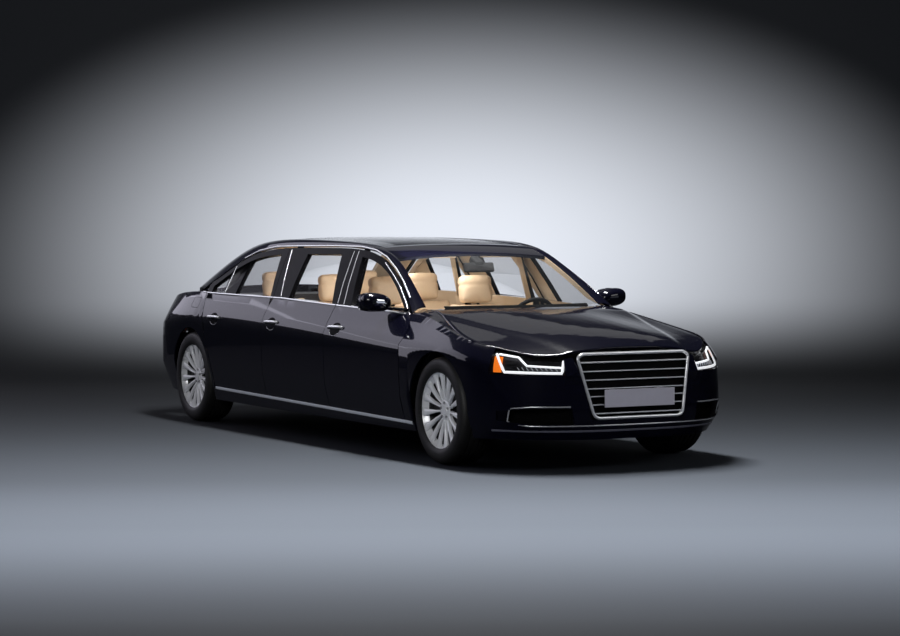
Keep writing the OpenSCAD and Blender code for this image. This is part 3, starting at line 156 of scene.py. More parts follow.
seen_any = add_node(nodes, "ShaderNodeMath", operation="MAXIMUM")
height = add_node(nodes, "ShaderNodeSeparateXYZ")
rise = add_node(nodes, "ShaderNodeMapRange", interpolation_type="SMOOTHSTEP")
rise.inputs["From Min"].default_value = 0.0
rise.inputs["From Max"].default_value = 0.8
only_wall = add_node(nodes, "ShaderNodeMath", operation="MULTIPLY")
links.new(place.outputs["Object"], glow_shift.inputs["Vector"])
links.new(glow_shift.outputs["Vector"], glow_far.inputs[0])
links.new(glow_far.outputs["Value"], glow.inputs["Fac"])
links.new(seen_by.outputs["Is Camera Ray"], seen_eye.inputs[0])
links.new(seen_by.outputs["Is Glossy Ray"], painted_dark_reflection.inputs[0])
links.new(seen_by.outputs["Is Glossy Ray"], seen_eye.inputs[1])
links.new(seen_eye.outputs[0], seen_any.inputs[0])
links.new(seen_by.outputs["Is Transmission Ray"], seen_any.inputs[1])
links.new(place.outputs["Object"], height.inputs[0])
links.new(height.outputs["Z"], rise.inputs["Value"])
links.new(rise.outputs[0], only_wall.inputs[0])
links.new(seen_any.outputs[0], only_wall.inputs[1])
links.new(glow.outputs["Color"], shader.inputs["Emission Color"])
links.new(only_wall.outputs[0], shader.inputs["Emission Strength"])
behind = add_node(nodes, "ShaderNodeNewGeometry")
see_through = add_node(nodes, "ShaderNodeBsdfTransparent")
one_sided = add_node(nodes, "ShaderNodeMixShader")
links.new(behind.outputs["Backfacing"], one_sided.inputs[0])
links.new(shader.outputs[0], one_sided.inputs[1])
links.new(see_through.outputs[0], one_sided.inputs[2])
links.new(one_sided.outputs[0], nodes["Material Output"].inputs["Surface"])
studio = finish_mesh(bm, "studio_floor", [studio_paint], 60)

world = bpy.data.worlds.new("studio_air")
scene.world = world
world.use_nodes = True
world.node_tree.nodes["Background"].inputs["Color"].default_value = (0.008, 0.009, 0.011, 1)
world.node_tree.nodes["Background"].inputs["Strength"].default_value = 1.0


def soft_box(name, at, aim, wide, tall, watts, tone=(1, 1, 1)):
    lamp = bpy.data.lights.new(name, "AREA")
    lamp.shape = "RECTANGLE"
    lamp.size, lamp.size_y, lamp.energy, lamp.color = wide, tall, watts, tone
    obj = bpy.data.objects.new(name, lamp)
    scene.collection.objects.link(obj)
    obj.location = at
    obj.rotation_euler = (Vector(aim) - Vector(at)).to_track_quat("-Z", "Y").to_euler()
    return obj


soft_box("box_overhead", (0.2, 0.0, 7.5), (0.2, 0.0, 0), 4.2, 0.8, 1150)
lavender = (0.86, 0.84, 1)
soft_box("box_side_low", (-11.0, -7.2, 3.3), (0, -0.9, 0.9), 17.0, 1.9, 112, lavender)
soft_box("box_side_high", (-11.2, -7.3, 7.0), (0, -0.9, 0.9), 17.0, 5.6, 330, lavender)
soft_box("box_back", (-12.0, 7.0, 8.0), (0, 0, 0.9), 9.0, 3.0, 16)
soft_box("box_front_low", (12.0, 5.0, 1.4), (3.0, 0, 0.6), 7.0, 2.2, 26, (0.80, 0.84, 1))
soft_box("box_front", (9.0, 4.0, 4.2), (1.5, 0, 0.7), 4.0, 2.0, 60)
box_eye = soft_box("box_eye", (11.0, -12.0, 6.0), (0, 0, 0.9), 6.0, 3.0, 560)
spared = bpy.data.collections.new("floor_spared")
spared.objects.link(studio)
spared.collection_objects[0].light_linking.link_state = "EXCLUDE"
box_eye.light_linking.receiver_collection = spared
for row, x in (("front", 1.05), ("middle", 0.20), ("rear", -0.75)):
    cabin_light = soft_box("cabin_light_" + row, (x, -0.12, 1.33), (x - 0.55, 0.05, 0.70), 0.9, 0.35, 6.5,
                           (1, 0.97, 0.92))
    cabin_light.visible_camera = cabin_light.visible_glossy = False

# The floor, the welded inner body, the axles and the exhaust: pressed and cast steel under sealer and black paint.
# They are bolted or welded up first, and little of them shows under the finished car.


def grained(name, low, high, scale, rough, metallic=0.0, bump=0.0, coat=0.0, kind="ShaderNodeTexNoise",
            shine=None):
    mat, nodes, links, shader = new_material(name)
    shader.inputs["Roughness"].default_value = rough
    shader.inputs["Metallic"].default_value = metallic
    shader.inputs["Coat Weight"].default_value = coat
    shader.inputs["Coat Roughness"].default_value = 0.05
    shader.inputs["Specular IOR Level"].default_value = 0.5 - 0.48 * coat if shine is None else shine
    place = add_node(nodes, "ShaderNodeTexCoord")
    grain = add_node(nodes, kind, Scale=scale)
    tone = add_node(nodes, "ShaderNodeValToRGB")
    tone.color_ramp.elements[0].color = (*low, 1)
    tone.color_ramp.elements[1].color = (*high, 1)
    links.new(place.outputs["Object"], grain.inputs["Vector"])
    links.new(grain.outputs[0], tone.inputs["Fac"])
    links.new(tone.outputs["Color"], shader.inputs["Base Color"])
    if bump:
        lift = add_node(nodes, "ShaderNodeBump", Strength=bump, Distance=0.001)
        links.new(grain.outputs[0], lift.inputs["Height"])
        links.new(lift.outputs["Normal"], shader.inputs["Normal"])
    return mat


def panel_from(node, mats, body, smooth=28, sort=None, cuts=(), shape=None):
    bm = bmesh.new()
    bm.from_mesh(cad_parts[node].data)
    bmesh.ops.remove_doubles(bm, verts=bm.verts, dist=0.00002)
    for at, facing in cuts:
        bmesh.ops.bisect_plane(bm, geom=bm.verts[:] + bm.edges[:] + bm.faces[:], plane_co=at, plane_no=facing)
    if shape:
        bmesh.ops.subdivide_edges(bm, edges=bm.edges[:], cuts=2, use_grid_fill=True)
        for v in bm.verts:
            v.co = shape(v.co)
    bm.normal_update()
    if sort:
        for face in bm.faces:
            face.material_index = sort(face.calc_center_median(), face.normal)
    obj = finish_mesh(bm, node + "_piece", mats, smooth)
    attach(obj, body)
    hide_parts(node)
    return obj


sealer = grained("sealer_black", (0.008, 0.008, 0.009), (0.022, 0.022, 0.024), 60, 0.7, bump=0.2)
cast_iron = grained("cast_iron", (0.05, 0.05, 0.052), (0.10, 0.10, 0.105), 90, 0.55, 0.8, bump=0.3)
pipe_steel = grained("pipe_steel", (0.22, 0.21, 0.20), (0.34, 0.33, 0.32), 25, 0.35, 1.0)
carpet = grained("carpet_loop", (0.10, 0.075, 0.05), (0.17, 0.13, 0.09), 900, 0.95, bump=0.6)
panel_from("floor_pan", [sealer, carpet], "car_body", sort=lambda c, n: 1 if n.z > 0.5 else 0)
for node in ("front_structure", "rear_structure", "door_hinges"):
    panel_from(node, [sealer], "car_body")
panel_from("wheel_liners", [sealer], "car_body")
for node in ("engine", "front_axle", "rear_axle"):
    panel_from(node, [cast_iron], "car_body")
panel_from("knuckle_l", [cast_iron], "knuckle_l_body")
panel_from("knuckle_r", [cast_iron], "knuckle_r_body")
panel_from("exhaust", [pipe_steel], "car_body")

# The wheels: forged alloy rims, machined bright, fifteen spokes fanning from a small hub to the rim, five bolts,
# an iron brake disc behind, and a road tyre of moulded rubber pressed on the rim by air.
alloy = grained("alloy_machined", (0.88, 0.89, 0.92), (0.95, 0.96, 0.98), 40, 0.26, 0.15)
disc_iron = grained("disc_iron", (0.020, 0.020, 0.022), (0.045, 0.045, 0.048), 120, 0.45, 0.6)
bolt_steel = grained("bolt_steel", (0.35, 0.35, 0.36), (0.5, 0.5, 0.51), 200, 0.3, 1.0)
rubber, nodes, links, shader = new_material("tyre_rubber")
shader.inputs["Roughness"].default_value = 0.55
place = add_node(nodes, "ShaderNodeTexCoord")
# Painted shade: thin darker lines in a brick pattern stand for the shaded grooves between tread blocks.
blocks = add_node(nodes, "ShaderNodeTexBrick", Scale=1.0)
blocks.inputs["Color1"].default_value = (0.009, 0.009, 0.0095, 1)
blocks.inputs["Color2"].default_value = (0.011, 0.011, 0.0115, 1)
blocks.inputs["Mortar"].default_value = (0.003, 0.003, 0.003, 1)
blocks.inputs["Mortar Size"].default_value = 0.02
links.new(place.outputs["UV"], blocks.inputs["Vector"])
links.new(blocks.outputs["Color"], shader.inputs["Base Color"])


def turned(bm, profile, steps=72):
    chain = [bm.verts.new((0, a, r)) for r, a in profile]
    edges = [bm.edges.new(pair) for pair in zip(chain, chain[1:])]
    bmesh.ops.spin(bm, geom=chain + edges, cent=(0, 0, 0), axis=(0, 1, 0), angle=2 * math.pi, steps=steps,
                   use_merge=True)


def wheel_place(bm, centre, hand):
    bmesh.ops.scale(bm, vec=(1, hand, 1), verts=bm.verts)
    bmesh.ops.translate(bm, vec=centre, verts=bm.verts)
    bmesh.ops.remove_doubles(bm, verts=bm.verts, dist=0.00001)
    bmesh.ops.recalc_face_normals(bm, faces=bm.faces)


wheel_r, spokes, bolts_each = 0.356, 15, 5
front_x, front_y, rear_x, rear_y = 2.194, 0.822, -2.026, 0.8175
# Half of the tyre's outline from bead to middle, as radius and distance from the wheel's middle plane.
half = [(0.2500, 0.1130), (0.2630, 0.1215), (0.2730, 0.1258), (0.2850, 0.1275), (0.3050, 0.1275), (0.3230, 0.1245),
        (0.3370, 0.1180), (0.3460, 0.1080), (0.3515, 0.0960), (0.3535, 0.0850), (0.3540, 0.0610), (0.3470, 0.0600),
        (0.3470, 0.0520), (0.3550, 0.0510), (0.3558, 0.0240), (0.3480, 0.0230), (0.3480, 0.0150), (0.3560, 0.0140)]
for tag, x, y in (("fl", front_x, front_y), ("fr", front_x, -front_y), ("rl", rear_x, rear_y), ("rr", rear_x, -rear_y)):
    body = "wheel_" + tag
    centre, hand = Vector((x, y, wheel_r)), (1 if y > 0 else -1)
    bm = bmesh.new()
    turned(bm, half + [(r, -a) for r, a in reversed(half)], 96)
    rounds = bm.loops.layers.uv.new("round")
    for face in bm.faces:
        for loop in face.loops:
            turn = math.atan2(loop.vert.co.x, loop.vert.co.z) / (2 * math.pi)
            if turn < 0 and face.calc_center_median().x > 0.0:
                turn += 1
            loop[rounds].uv = (loop.vert.co.y * 20, turn * 34)
    wheel_place(bm, centre, hand)
    tyre = finish_mesh(bm, "road_tyre_" + tag, [rubber], 40)
    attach(tyre, body)
    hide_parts("tyre_" + tag)
    bm = bmesh.new()
    turned(bm, [(0.2420, -0.1180), (0.2270, -0.1000), (0.2140, -0.0600), (0.2140, 0.0300), (0.2280, 0.0700),
                (0.2410, 0.0880), (0.2540, 0.1020), (0.2640, 0.1130), (0.2680, 0.1195), (0.2630, 0.1215),
                (0.2550, 0.1160), (0.2490, 0.1080)], 96)
    turned(bm, [(0.0, 0.0790), (0.0260, 0.0785), (0.0300, 0.0750), (0.0320, 0.0710), (0.0600, 0.0730),
                (0.0690, 0.0680), (0.0720, 0.0400), (0.0, 0.0400)], 60)
    before = set(bm.verts)
    rings = []
    # One spoke by stations: radius, place of its face, width and depth.
    for r, a, w, t in ((0.058, 0.070, 0.0150, 0.028), (0.080, 0.0790, 0.0145, 0.026), (0.112, 0.0870, 0.0180, 0.024),
                       (0.150, 0.0930, 0.0250, 0.022), (0.195, 0.0975, 0.0350, 0.020), (0.226, 0.1010, 0.0450, 0.020),
                       (0.250, 0.1050, 0.0600, 0.018)):
        rings.append([bm.verts.new((u * w, a + v * t, r)) for u, v in
                      ((-0.5, -1), (-0.5, -0.42), (-0.34, -0.12), (0, 0), (0.34, -0.12), (0.5, -0.42), (0.5, -1))])
    for a, b in zip(rings, rings[1:]):
        for k in range(7):
            bm.faces.new((a[k], a[(k + 1) % 7], b[(k + 1) % 7], b[k]))
    spoke = [v for v in bm.verts if v not in before]
    part = spoke + [e for e in bm.edges if e.verts[0] in spoke] + [f for f in bm.faces if f.verts[0] in spoke]
    bmesh.ops.spin(bm, geom=part, cent=(0, 0, 0), axis=(0, 1, 0), angle=2 * math.pi * (spokes - 1) / spokes,
                   steps=spokes - 1, use_duplicate=True)
    wheel_place(bm, centre, hand)
    # Faces on the car's side of the rim take the dark disc iron: painted shade in the silver alloy barrel and behind
    # the hub and spokes.
    for face in bm.faces:
        mid = face.calc_center_median() - centre
        face.material_index = 1 if mid.y * hand < 0.055 else 0
    rim = finish_mesh(bm, "spoked_rim_" + tag, [alloy, disc_iron], 40)
    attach(rim, body)
    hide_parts("rim_" + tag)
    bm = bmesh.new()
    turned(bm, [(0.070, 0.0060), (0.178, 0.0060), (0.178, 0.0340), (0.070, 0.0340), (0.070, 0.0060)], 64)
    wheel_place(bm, centre, hand)
    disc = finish_mesh(bm, "brake_disc_" + tag, [disc_iron], 30)
    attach(disc, body)
    bm = bmesh.new()
    for k in range(bolts_each):
        turn = Matrix.Rotation(k * 2 * math.pi / bolts_each, 4, "Y") @ Matrix.Translation((0, 0.0740, 0.050))
        bmesh.ops.create_cone(bm, segments=6, radius1=0.0095, radius2=0.0085, depth=0.014, cap_ends=True,
                              matrix=turn @ Matrix.Rotation(-math.pi / 2, 4, "X"))
    wheel_place(bm, centre, hand)
    bolts = finish_mesh(bm, "wheel_bolts_" + tag, [bolt_steel], 25)
    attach(bolts, body)

# The painted body panels: pressed sheet, welded or bolted edge to edge, under dark blue metallic and clear lacquer.
# Inside, rails and posts wear beige trim. The doors' window frames are gloss black above the belt line.
paint = grained("lacquer_midnight_blue", (0.0016, 0.0016, 0.0050), (0.0034, 0.0034, 0.0110), 2600, 0.4, 0.0,
                coat=1.0, kind="ShaderNodeTexVoronoi")
gloss_black = grained("frame_gloss_black", (0.003, 0.003, 0.004), (0.005, 0.005, 0.006), 300, 0.3, shine=0.03)
trim_beige = grained("trim_beige", (0.66, 0.53, 0.38), (0.72, 0.58, 0.42), 700, 0.75, bump=0.15)
# The belt line below the windows, front to rear, as x and z.
BELT = ((1.67, 0.966), (1.555, 0.971), (1.300, 0.983), (0.840, 0.995), (0.490, 1.004), (-0.387, 1.029),
        (-1.216, 1.031), (-1.935, 1.033))


def belt_z(x):
    for (xa, za), (xb, zb) in zip(BELT, BELT[1:]):
        if x >= xb or (xb, zb) == BELT[-1]:
            return za + (zb - za) * (xa - x) / (xa - xb)


def inside_out(c, n):
    if n.y * (1 if c.y > 0 else -1) < -0.6 and n.z < 0.1 and n.x < 0.45:
        return 1
    return 2 if n.z < -0.3 else 0


panel_from("body_sides", [paint, trim_beige, gloss_black], "car_body", sort=inside_out)
panel_from("roof_panel", [paint, trim_beige], "car_body", sort=lambda c, n: 1 if n.z < -0.2 else 0)
panel_from("pillars", [gloss_black, trim_beige, gloss_black], "car_body", sort=inside_out)
for node in ("rear_quarters", "rear_bumper", "sill_trims"):
    panel_from(node, [paint], "car_body")
panel_from("front_fenders", [paint], "car_body", smooth=36)
panel_from("front_bumper", [paint], "car_body")


# The bonnet's middle stands proud between two creases that run from the grille's corners to the windscreen's.
crease_x, crease_y, crease_flare, crease_wide, crease_rise = 3.06, 0.40, 0.25, 0.045, 0.009
crease_end, crease_fade = 1.62, 0.25


def pressed(co):
    out = (abs(co.y) - crease_y - (crease_x - co.x) * crease_flare) / crease_wide
    ease = min(1, max(0, out))
    fade = min(1, max(0, (co.x - crease_end) / crease_fade))
    return co + Vector((0, 0, crease_rise * fade * (1 - ease * ease * (3 - 2 * ease))))


panel_from("bonnet", [paint], "bonnet_body", smooth=40, shape=pressed)
panel_from("boot_lid", [paint], "boot_body")


def door_side(c, n):
    out = n.y * (1 if c.y > 0 else -1)
    if c.z > belt_z(c.x) + 0.001:
        return 2 if out < -0.8 else 1
    return 2 if out < -0.5 else 0


DOOR_SPAN = {"f": (1.66, 0.42), "m": (0.50, -0.60), "r": (-0.55, -1.84)}
for end, (x0, x1) in DOOR_SPAN.items():
    for hand in "lr":
        at = Vector((x0, 0, belt_z(x0)))
        run = Vector((x1, 0, belt_z(x1))) - at
        panel_from(f"door_{end}{hand}", [paint, gloss_black, trim_beige], f"door_{end}{hand}_body",
                   sort=door_side, cuts=[(at, Vector((-run.z, 0, run.x)))])

# The glass: laminated windscreen, tempered door and rear panes, lightly tinted, and a dark glass roof panel.
# Panes are bonded or run in the door frames; each keeps the frame's own surface.
glass, nodes, links, shader = new_material("pane_clear")
shader.inputs["Roughness"].default_value = 0.01
facing = add_node(nodes, "ShaderNodeLayerWeight", Blend=0.08)
haze = add_node(nodes, "ShaderNodeTexNoise", Scale=3.0)
mix_in = add_node(nodes, "ShaderNodeMapRange")
mix_in.inputs["To Min"].default_value = 0.01
mix_in.inputs["To Max"].default_value = 0.30
links.new(facing.outputs["Fresnel"], mix_in.inputs["Value"])
links.new(mix_in.outputs[0], shader.inputs["Alpha"])
place = add_node(nodes, "ShaderNodeTexCoord")
links.new(place.outputs["Object"], haze.inputs["Vector"])
faint = add_node(nodes, "ShaderNodeValToRGB")
faint.color_ramp.elements[0].color = (0.016, 0.018, 0.020, 1)
faint.color_ramp.elements[1].color = (0.024, 0.026, 0.028, 1)
links.new(haze.outputs[0], faint.inputs["Fac"])
links.new(faint.outputs["Color"], shader.inputs["Base Color"])
for node in ("windscreen", "rear_window"):
    panel_from(node, [glass], "car_body")
for end in "fmr":
    for hand in "lr":
        panel_from(f"glass_{end}{hand}", [glass], f"door_{end}{hand}_body")
panel_from("roof_glass", [glass], "car_body")

# The bright trim: drawn aluminium, anodised and polished, clipped along the roof rail, the belt of every door,
# the door posts and the sills.
chrome = grained("bright_trim", (0.84, 0.85, 0.88), (0.92, 0.93, 0.96), 80, 0.22, 0.7)
satin = grained("satin_trim", (0.70, 0.74, 0.80), (0.78, 0.82, 0.88), 80, 0.4, 0.15)


def tree_of(*names):
    bm = bmesh.new()
    for name in names:
        bm.from_mesh(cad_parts[name].data)
    tree = BVHTree.FromBMesh(bm)
    bm.free()
    return tree


def on_side(tree, x, z, hand):
    at, out, _, _ = tree.ray_cast(Vector((x, 1.5 * hand, z)), Vector((0, -hand, 0)))
    return (at, out) if at else None


def strip(name, path, mat, body, wide, high, closed=False):
    bm = bmesh.new()
    shape = ((-0.5, -0.5), (-0.44, 0.5), (-0.2, 0.95), (0.2, 0.95), (0.44, 0.5), (0.5, -0.5))
    path = [p for p in path if p]
    rings = []
    for i, (at, out) in enumerate(path):
        back = path[i - 1][0] if i or closed else at
        front = path[(i + 1) % len(path)][0] if i < len(path) - 1 or closed else at
        along = (front - back).normalized()
        side = along.cross(out).normalized()
        out = side.cross(along)
        rings.append([bm.verts.new(at + side * u * wide + out * v * high) for u, v in shape])
    for a, b in list(zip(rings, rings[1:])) + ([(rings[-1], rings[0])] if closed else []):
        for k in range(6):
            bm.faces.new((a[k], a[(k + 1) % 6], b[(k + 1) % 6], b[k]))
    if not closed:
        bm.faces.new(rings[0])
        bm.faces.new(rings[-1])
    bmesh.ops.recalc_face_normals(bm, faces=bm.faces)
    obj = finish_mesh(bm, name, [mat], 50)
    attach(obj, body)
    return obj


def spread(points, steps):
    found = []
    for a, b in zip(points, points[1:]):
        found += [tuple(p + (q - p) * k / steps for p, q in zip(a, b)) for k in range(steps)]
    return found + [tuple(points[-1])]


# The line over the windows, from the foot of the windscreen post to the tail, as x and z.
UPPER = ((1.555, 0.965), (1.413, 1.066), (1.226, 1.175), (1.063, 1.255), (0.875, 1.336), (0.702, 1.381), (0.491, 1.402),
         (0.080, 1.404), (-0.534, 1.396), (-0.901, 1.389), (-1.172, 1.357), (-1.378, 1.294), (-1.564, 1.207),
         (-1.711, 1.146), (-1.834, 1.093), (-1.935, 1.050))
for tag, hand in (("l", 1), ("r", -1)):
    rail = tree_of("body_sides")
    path = []
    for (x, z), (xa, za), (xb, zb) in zip(UPPER[1:-1], UPPER, UPPER[2:]):
        tilt = Vector((xa - xb, 0, za - zb)).normalized()
        up = Vector((-tilt.z, 0, tilt.x)) * 0.008
        path.append(on_side(rail, x + up.x, z + up.z, hand))
    strip("rail_trim_" + tag, path, chrome, "car_body", 0.012, 0.004)
    for end, (x0, x1) in {"f": (1.530, 0.512), "m": (0.498, -0.537), "r": (-0.550, -1.830)}.items():
        skin = tree_of(f"door_{end}{tag}")
        steps = [x0 + (x1 - x0) * k / 24 for k in range(25)]
        strip(f"belt_trim_{end}{tag}", [on_side(skin, x, belt_z(x) - 0.008, hand) for x in steps], chrome,
              f"door_{end}{tag}_body", 0.014, 0.005)
    tail = tree_of("rear_quarters", "body_sides")
    strip("belt_trim_tail_" + tag, [on_side(tail, -1.846 - 0.010 * k, belt_z(-1.846 - 0.010 * k) - 0.004, hand)
                                    for k in range(9)], chrome, "car_body", 0.012, 0.005)
    front, mid, rear = (tree_of(f"door_{end}{tag}") for end in "fmr")
    slope = ((1.480, 0.992), (1.395, 1.050), (1.226, 1.146), (1.063, 1.225), (0.900, 1.300))
    strip("frame_trim_" + tag, [on_side(front, x, z, hand) for x, z in spread(slope, 5)],
          chrome, f"door_f{tag}_body", 0.007, 0.003)
    # Each post strip: its letter, door, foot and head along the car, and height of its head.
    for name, skin, end, xa, xb, top in (("a", front, "f", 0.612, 0.480, 1.375),
                                         ("b", front, "f", 0.520, 0.412, 1.375),
                                         ("c", mid, "m", -0.420, -0.598, 1.375),
                                         ("d", rear, "r", -1.470, -1.455, 1.235)):
        low = belt_z(xa) + 0.004
        line = [(xa + (xb - xa) * k / 12, low + (top - low) * k / 12) for k in range(13)]
        strip(f"post_trim_{name}{tag}", [on_side(skin, x, z, hand) for x, z in line], chrome, f"door_{end}{tag}_body",
              0.008, 0.003)
    sill = tree_of("sill_trims")
    strip("sill_trim_" + tag, [on_side(sill, x, 0.246 + (1.823 - x) * 0.01278, hand) for x in
                               [1.78 - 3.36 * k / 40 for k in range(41)]], satin, "car_body", 0.024, 0.006)

# The nose: a grille of cast and chromed bars in a chromed frame over black plastic mesh, a blank plate on two pads,
# and air intakes with a bright outline in the bumper.
mesh_black, nodes, links, shader = new_material("intake_mesh")
shader.inputs["Roughness"].default_value = 0.6
shader.inputs["Specular IOR Level"].default_value = 0.1
place = add_node(nodes, "ShaderNodeTexCoord")
# Painted shade: the mesh's holes are darker spots on a flat sheet, standing for the shade seen through them.
holes = add_node(nodes, "ShaderNodeTexVoronoi", Scale=90.0)
tone = add_node(nodes, "ShaderNodeValToRGB")
tone.color_ramp.elements[0].color = (0.001, 0.001, 0.001, 1)
tone.color_ramp.elements[1].color = (0.006, 0.006, 0.0065, 1)
links.new(place.outputs["Object"], holes.inputs["Vector"])
links.new(holes.outputs["Distance"], tone.inputs["Fac"])
links.new(tone.outputs["Color"], shader.inputs["Base Color"])
# Grey under a clear coat: the colour of a painted reflection on the bumper's lower lip.
lip_painted_sheen = grained("lip_painted_sheen", (0.10, 0.10, 0.13), (0.14, 0.14, 0.17), 60, 0.35, coat=0.6)
plate_paint = grained("plate_paint", (0.50, 0.48, 0.55), (0.54, 0.52, 0.59), 30, 0.5)


grille_x, grille_z, lean_cos, lean_sin = 3.170, 0.336, 0.984, 0.177


def at_grille(d, y, h):
    return Vector((grille_x + lean_cos * d - lean_sin * h, y, grille_z + lean_sin * d + lean_cos * h))


def rounded(corners, radius, steps=6):
    found = []
    for i, here in enumerate(corners):
        back, front = corners[i - 1], corners[(i + 1) % len(corners)]
        cut = min(radius, (back - here).length * 0.45, (front - here).length * 0.45)
        a, b = here + (back - here).normalized() * cut, here + (front - here).normalized() * cut
        for k in range(steps + 1):
            t = k / steps
            found.append(a * (1 - t) ** 2 + here * 2 * t * (1 - t) + b * t ** 2)
    return found


def slab(name, loop, thick, mat, body):
    bm = bmesh.new()
    face = bm.faces.new([bm.verts.new(p) for p in loop])
    bmesh.ops.solidify(bm, geom=[face], thickness=thick)
    bmesh.ops.recalc_face_normals(bm, faces=bm.faces)
    obj = finish_mesh(bm, name, [mat], 30)
    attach(obj, body)
    return obj


grille_out = Vector((lean_cos, 0, lean_sin))
corners = [Vector(p) for p in ((-0.329, 0.010), (0.329, 0.010), (0.417, 0.400), (0.380, 0.424), (-0.380, 0.424),
                               (-0.417, 0.400))]
ring = [(at_grille(0.0, p.x, p.y), grille_out) for p in rounded(corners, 0.045)]
bars = strip("grille_frame", ring, chrome, "car_body", 0.020, 0.007, closed=True)
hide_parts("grille")
slab("grille_mesh", [at_grille(-0.030, p.x, p.y) for p in corners], 0.004, mesh_black, "car_body")
for k, h in enumerate((0.369, 0.312, 0.256, 0.200, 0.150, 0.097, 0.041)):
    reach = 0.318 + 0.089 * h / 0.407
    strip(f"grille_slat_{k}", [(at_grille(-0.010, reach * (j / 8 - 1), h), grille_out) for j in range(17)], chrome,
          "car_body", 0.011, 0.008)
panel_from("number_plate", [plate_paint], "car_body")
bumper = tree_of("front_bumper")


def on_nose(y, z):
    at, out, _, _ = bumper.ray_cast(Vector((4.0, y, z)), Vector((-1, 0, 0)))
    return (at, out) if at else None


edge = spread(((0.478, 0.421), (0.700, 0.421), (0.786, 0.410), (0.794, 0.400), (0.794, 0.322), (0.780, 0.310),
               (0.700, 0.297), (0.452, 0.297), (0.0, 0.297)), 6)


intake_low, intake_tall = 0.295, 0.128


def on_lip(y, z):
    low, high = on_nose(y, intake_low), on_nose(y, 0.423)
    if abs(y) < 0.45 or not 0.30 < z < 0.42:
        return on_nose(y, z)
    t = (z - intake_low) / intake_tall
    return low[0].lerp(high[0], t), low[1].lerp(high[1], t).normalized()


outline = [on_lip(y, z) for y, z in edge] + [on_lip(-y, z) for y, z in reversed(edge[:-1])]
strip("intake_trim", outline, chrome, "car_body", 0.010, 0.004)
# Painted reflection: a grey strip along the bumper's lower lip stands for the pale sheen its paint shows; there is no
# trim there.
strip("lip_sheen_strip", [on_nose(0.84 * (k / 24 - 1), 0.262) for k in range(49)], lip_painted_sheen, "car_body", 0.016, 0.003)
for tag, hand in (("l", 1), ("r", -1)):
    corners = ((0.440, 0.297), (0.700, 0.297), (0.866, 0.322), (0.866, 0.402), (0.700, 0.421), (0.460, 0.421))
    back = [on_nose(y * hand, z) for y, z in corners]
    slab("intake_mesh_" + tag, [p[0] - Vector((0.045, 0.010 * hand, 0)) for p in back if p], 0.004, mesh_black,
         "car_body")

# The headlamps: a clear moulded lens over a black finned housing, with a bent white light bar and an amber corner.
# The tail lamps are red moulded lenses bonded to their housings.
lens_clear, nodes, links, shader = new_material("lamp_lens")
shader.inputs["Base Color"].default_value = (0.02, 0.02, 0.022, 1)
shader.inputs["Roughness"].default_value = 0.02
facing = add_node(nodes, "ShaderNodeLayerWeight", Blend=0.2)
mix_in = add_node(nodes, "ShaderNodeMapRange")
mix_in.inputs["To Min"].default_value = 0.06
mix_in.inputs["To Max"].default_value = 0.8
links.new(facing.outputs["Fresnel"], mix_in.inputs["Value"])
links.new(mix_in.outputs[0], shader.inputs["Alpha"])
light_bar, nodes, links, shader = new_material("light_bar")
shader.inputs["Base Color"].default_value = (0.8, 0.82, 0.85, 1)
shader.inputs["Emission Color"].default_value = (0.95, 0.97, 1.0, 1)
place = add_node(nodes, "ShaderNodeTexCoord")
dots = add_node(nodes, "ShaderNodeTexNoise", Scale=60.0)
power = add_node(nodes, "ShaderNodeMapRange")
power.inputs["To Min"].default_value = 0.55
power.inputs["To Max"].default_value = 1.1
links.new(place.outputs["Object"], dots.inputs["Vector"])
links.new(dots.outputs[0], power.inputs["Value"])
links.new(power.outputs[0], shader.inputs["Emission Strength"])
amber = grained("lamp_amber", (0.75, 0.20, 0.02), (0.95, 0.34, 0.05), 120, 0.2, coat=1.0)
shader = amber.node_tree.nodes["Principled BSDF"]
# Painted light: the amber corner's faint emission brightens it as light falling on it would; the indicator is not
# switched on.
shader.inputs["Emission Color"].default_value = (1.0, 0.27, 0.02, 1)
shader.inputs["Emission Strength"].default_value = 0.5
fins, nodes, links, shader = new_material("lamp_fins")
shader.inputs["Roughness"].default_value = 0.25
shader.inputs["Metallic"].default_value = 0.6
place = add_node(nodes, "ShaderNodeTexCoord")
wave = add_node(nodes, "ShaderNodeTexWave", Scale=38.0, bands_direction="Z")
tone = add_node(nodes, "ShaderNodeValToRGB")
tone.color_ramp.elements[0].color = (0.004, 0.004, 0.005, 1)
tone.color_ramp.elements[1].color = (0.10, 0.10, 0.11, 1)
links.new(place.outputs["Object"], wave.inputs["Vector"])
links.new(wave.outputs["Fac"], tone.inputs["Fac"])
links.new(tone.outputs["Color"], shader.inputs["Base Color"])
panel_from("headlamps", [lens_clear], "car_body")
lamps = tree_of("headlamps")


def in_lamp(a, t, deep, hand):
    x, y = 3.100 - 0.343 * a, 0.520 + 0.344 * a
    z = 0.622 + t * (0.100 + 0.045 * a)
    out = Vector((0.707, 0.707 * hand, 0))
    at, _, _, _ = lamps.ray_cast(Vector((x, y * hand, z)) + out * 0.5, -out)
    return (at - out * deep, out) if at else None


def patch(name, grid, mat, body):
    bm = bmesh.new()
    rows = [[bm.verts.new(p) for p in row] for row in grid]
    for a, b in zip(rows, rows[1:]):
        for k in range(len(a) - 1):
            bm.faces.new((a[k], a[k + 1], b[k + 1], b[k]))
    bmesh.ops.solidify(bm, geom=bm.faces[:], thickness=0.002)
    bmesh.ops.recalc_face_normals(bm, faces=bm.faces)
    obj = finish_mesh(bm, name, [mat], 40)
    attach(obj, body)
    return obj


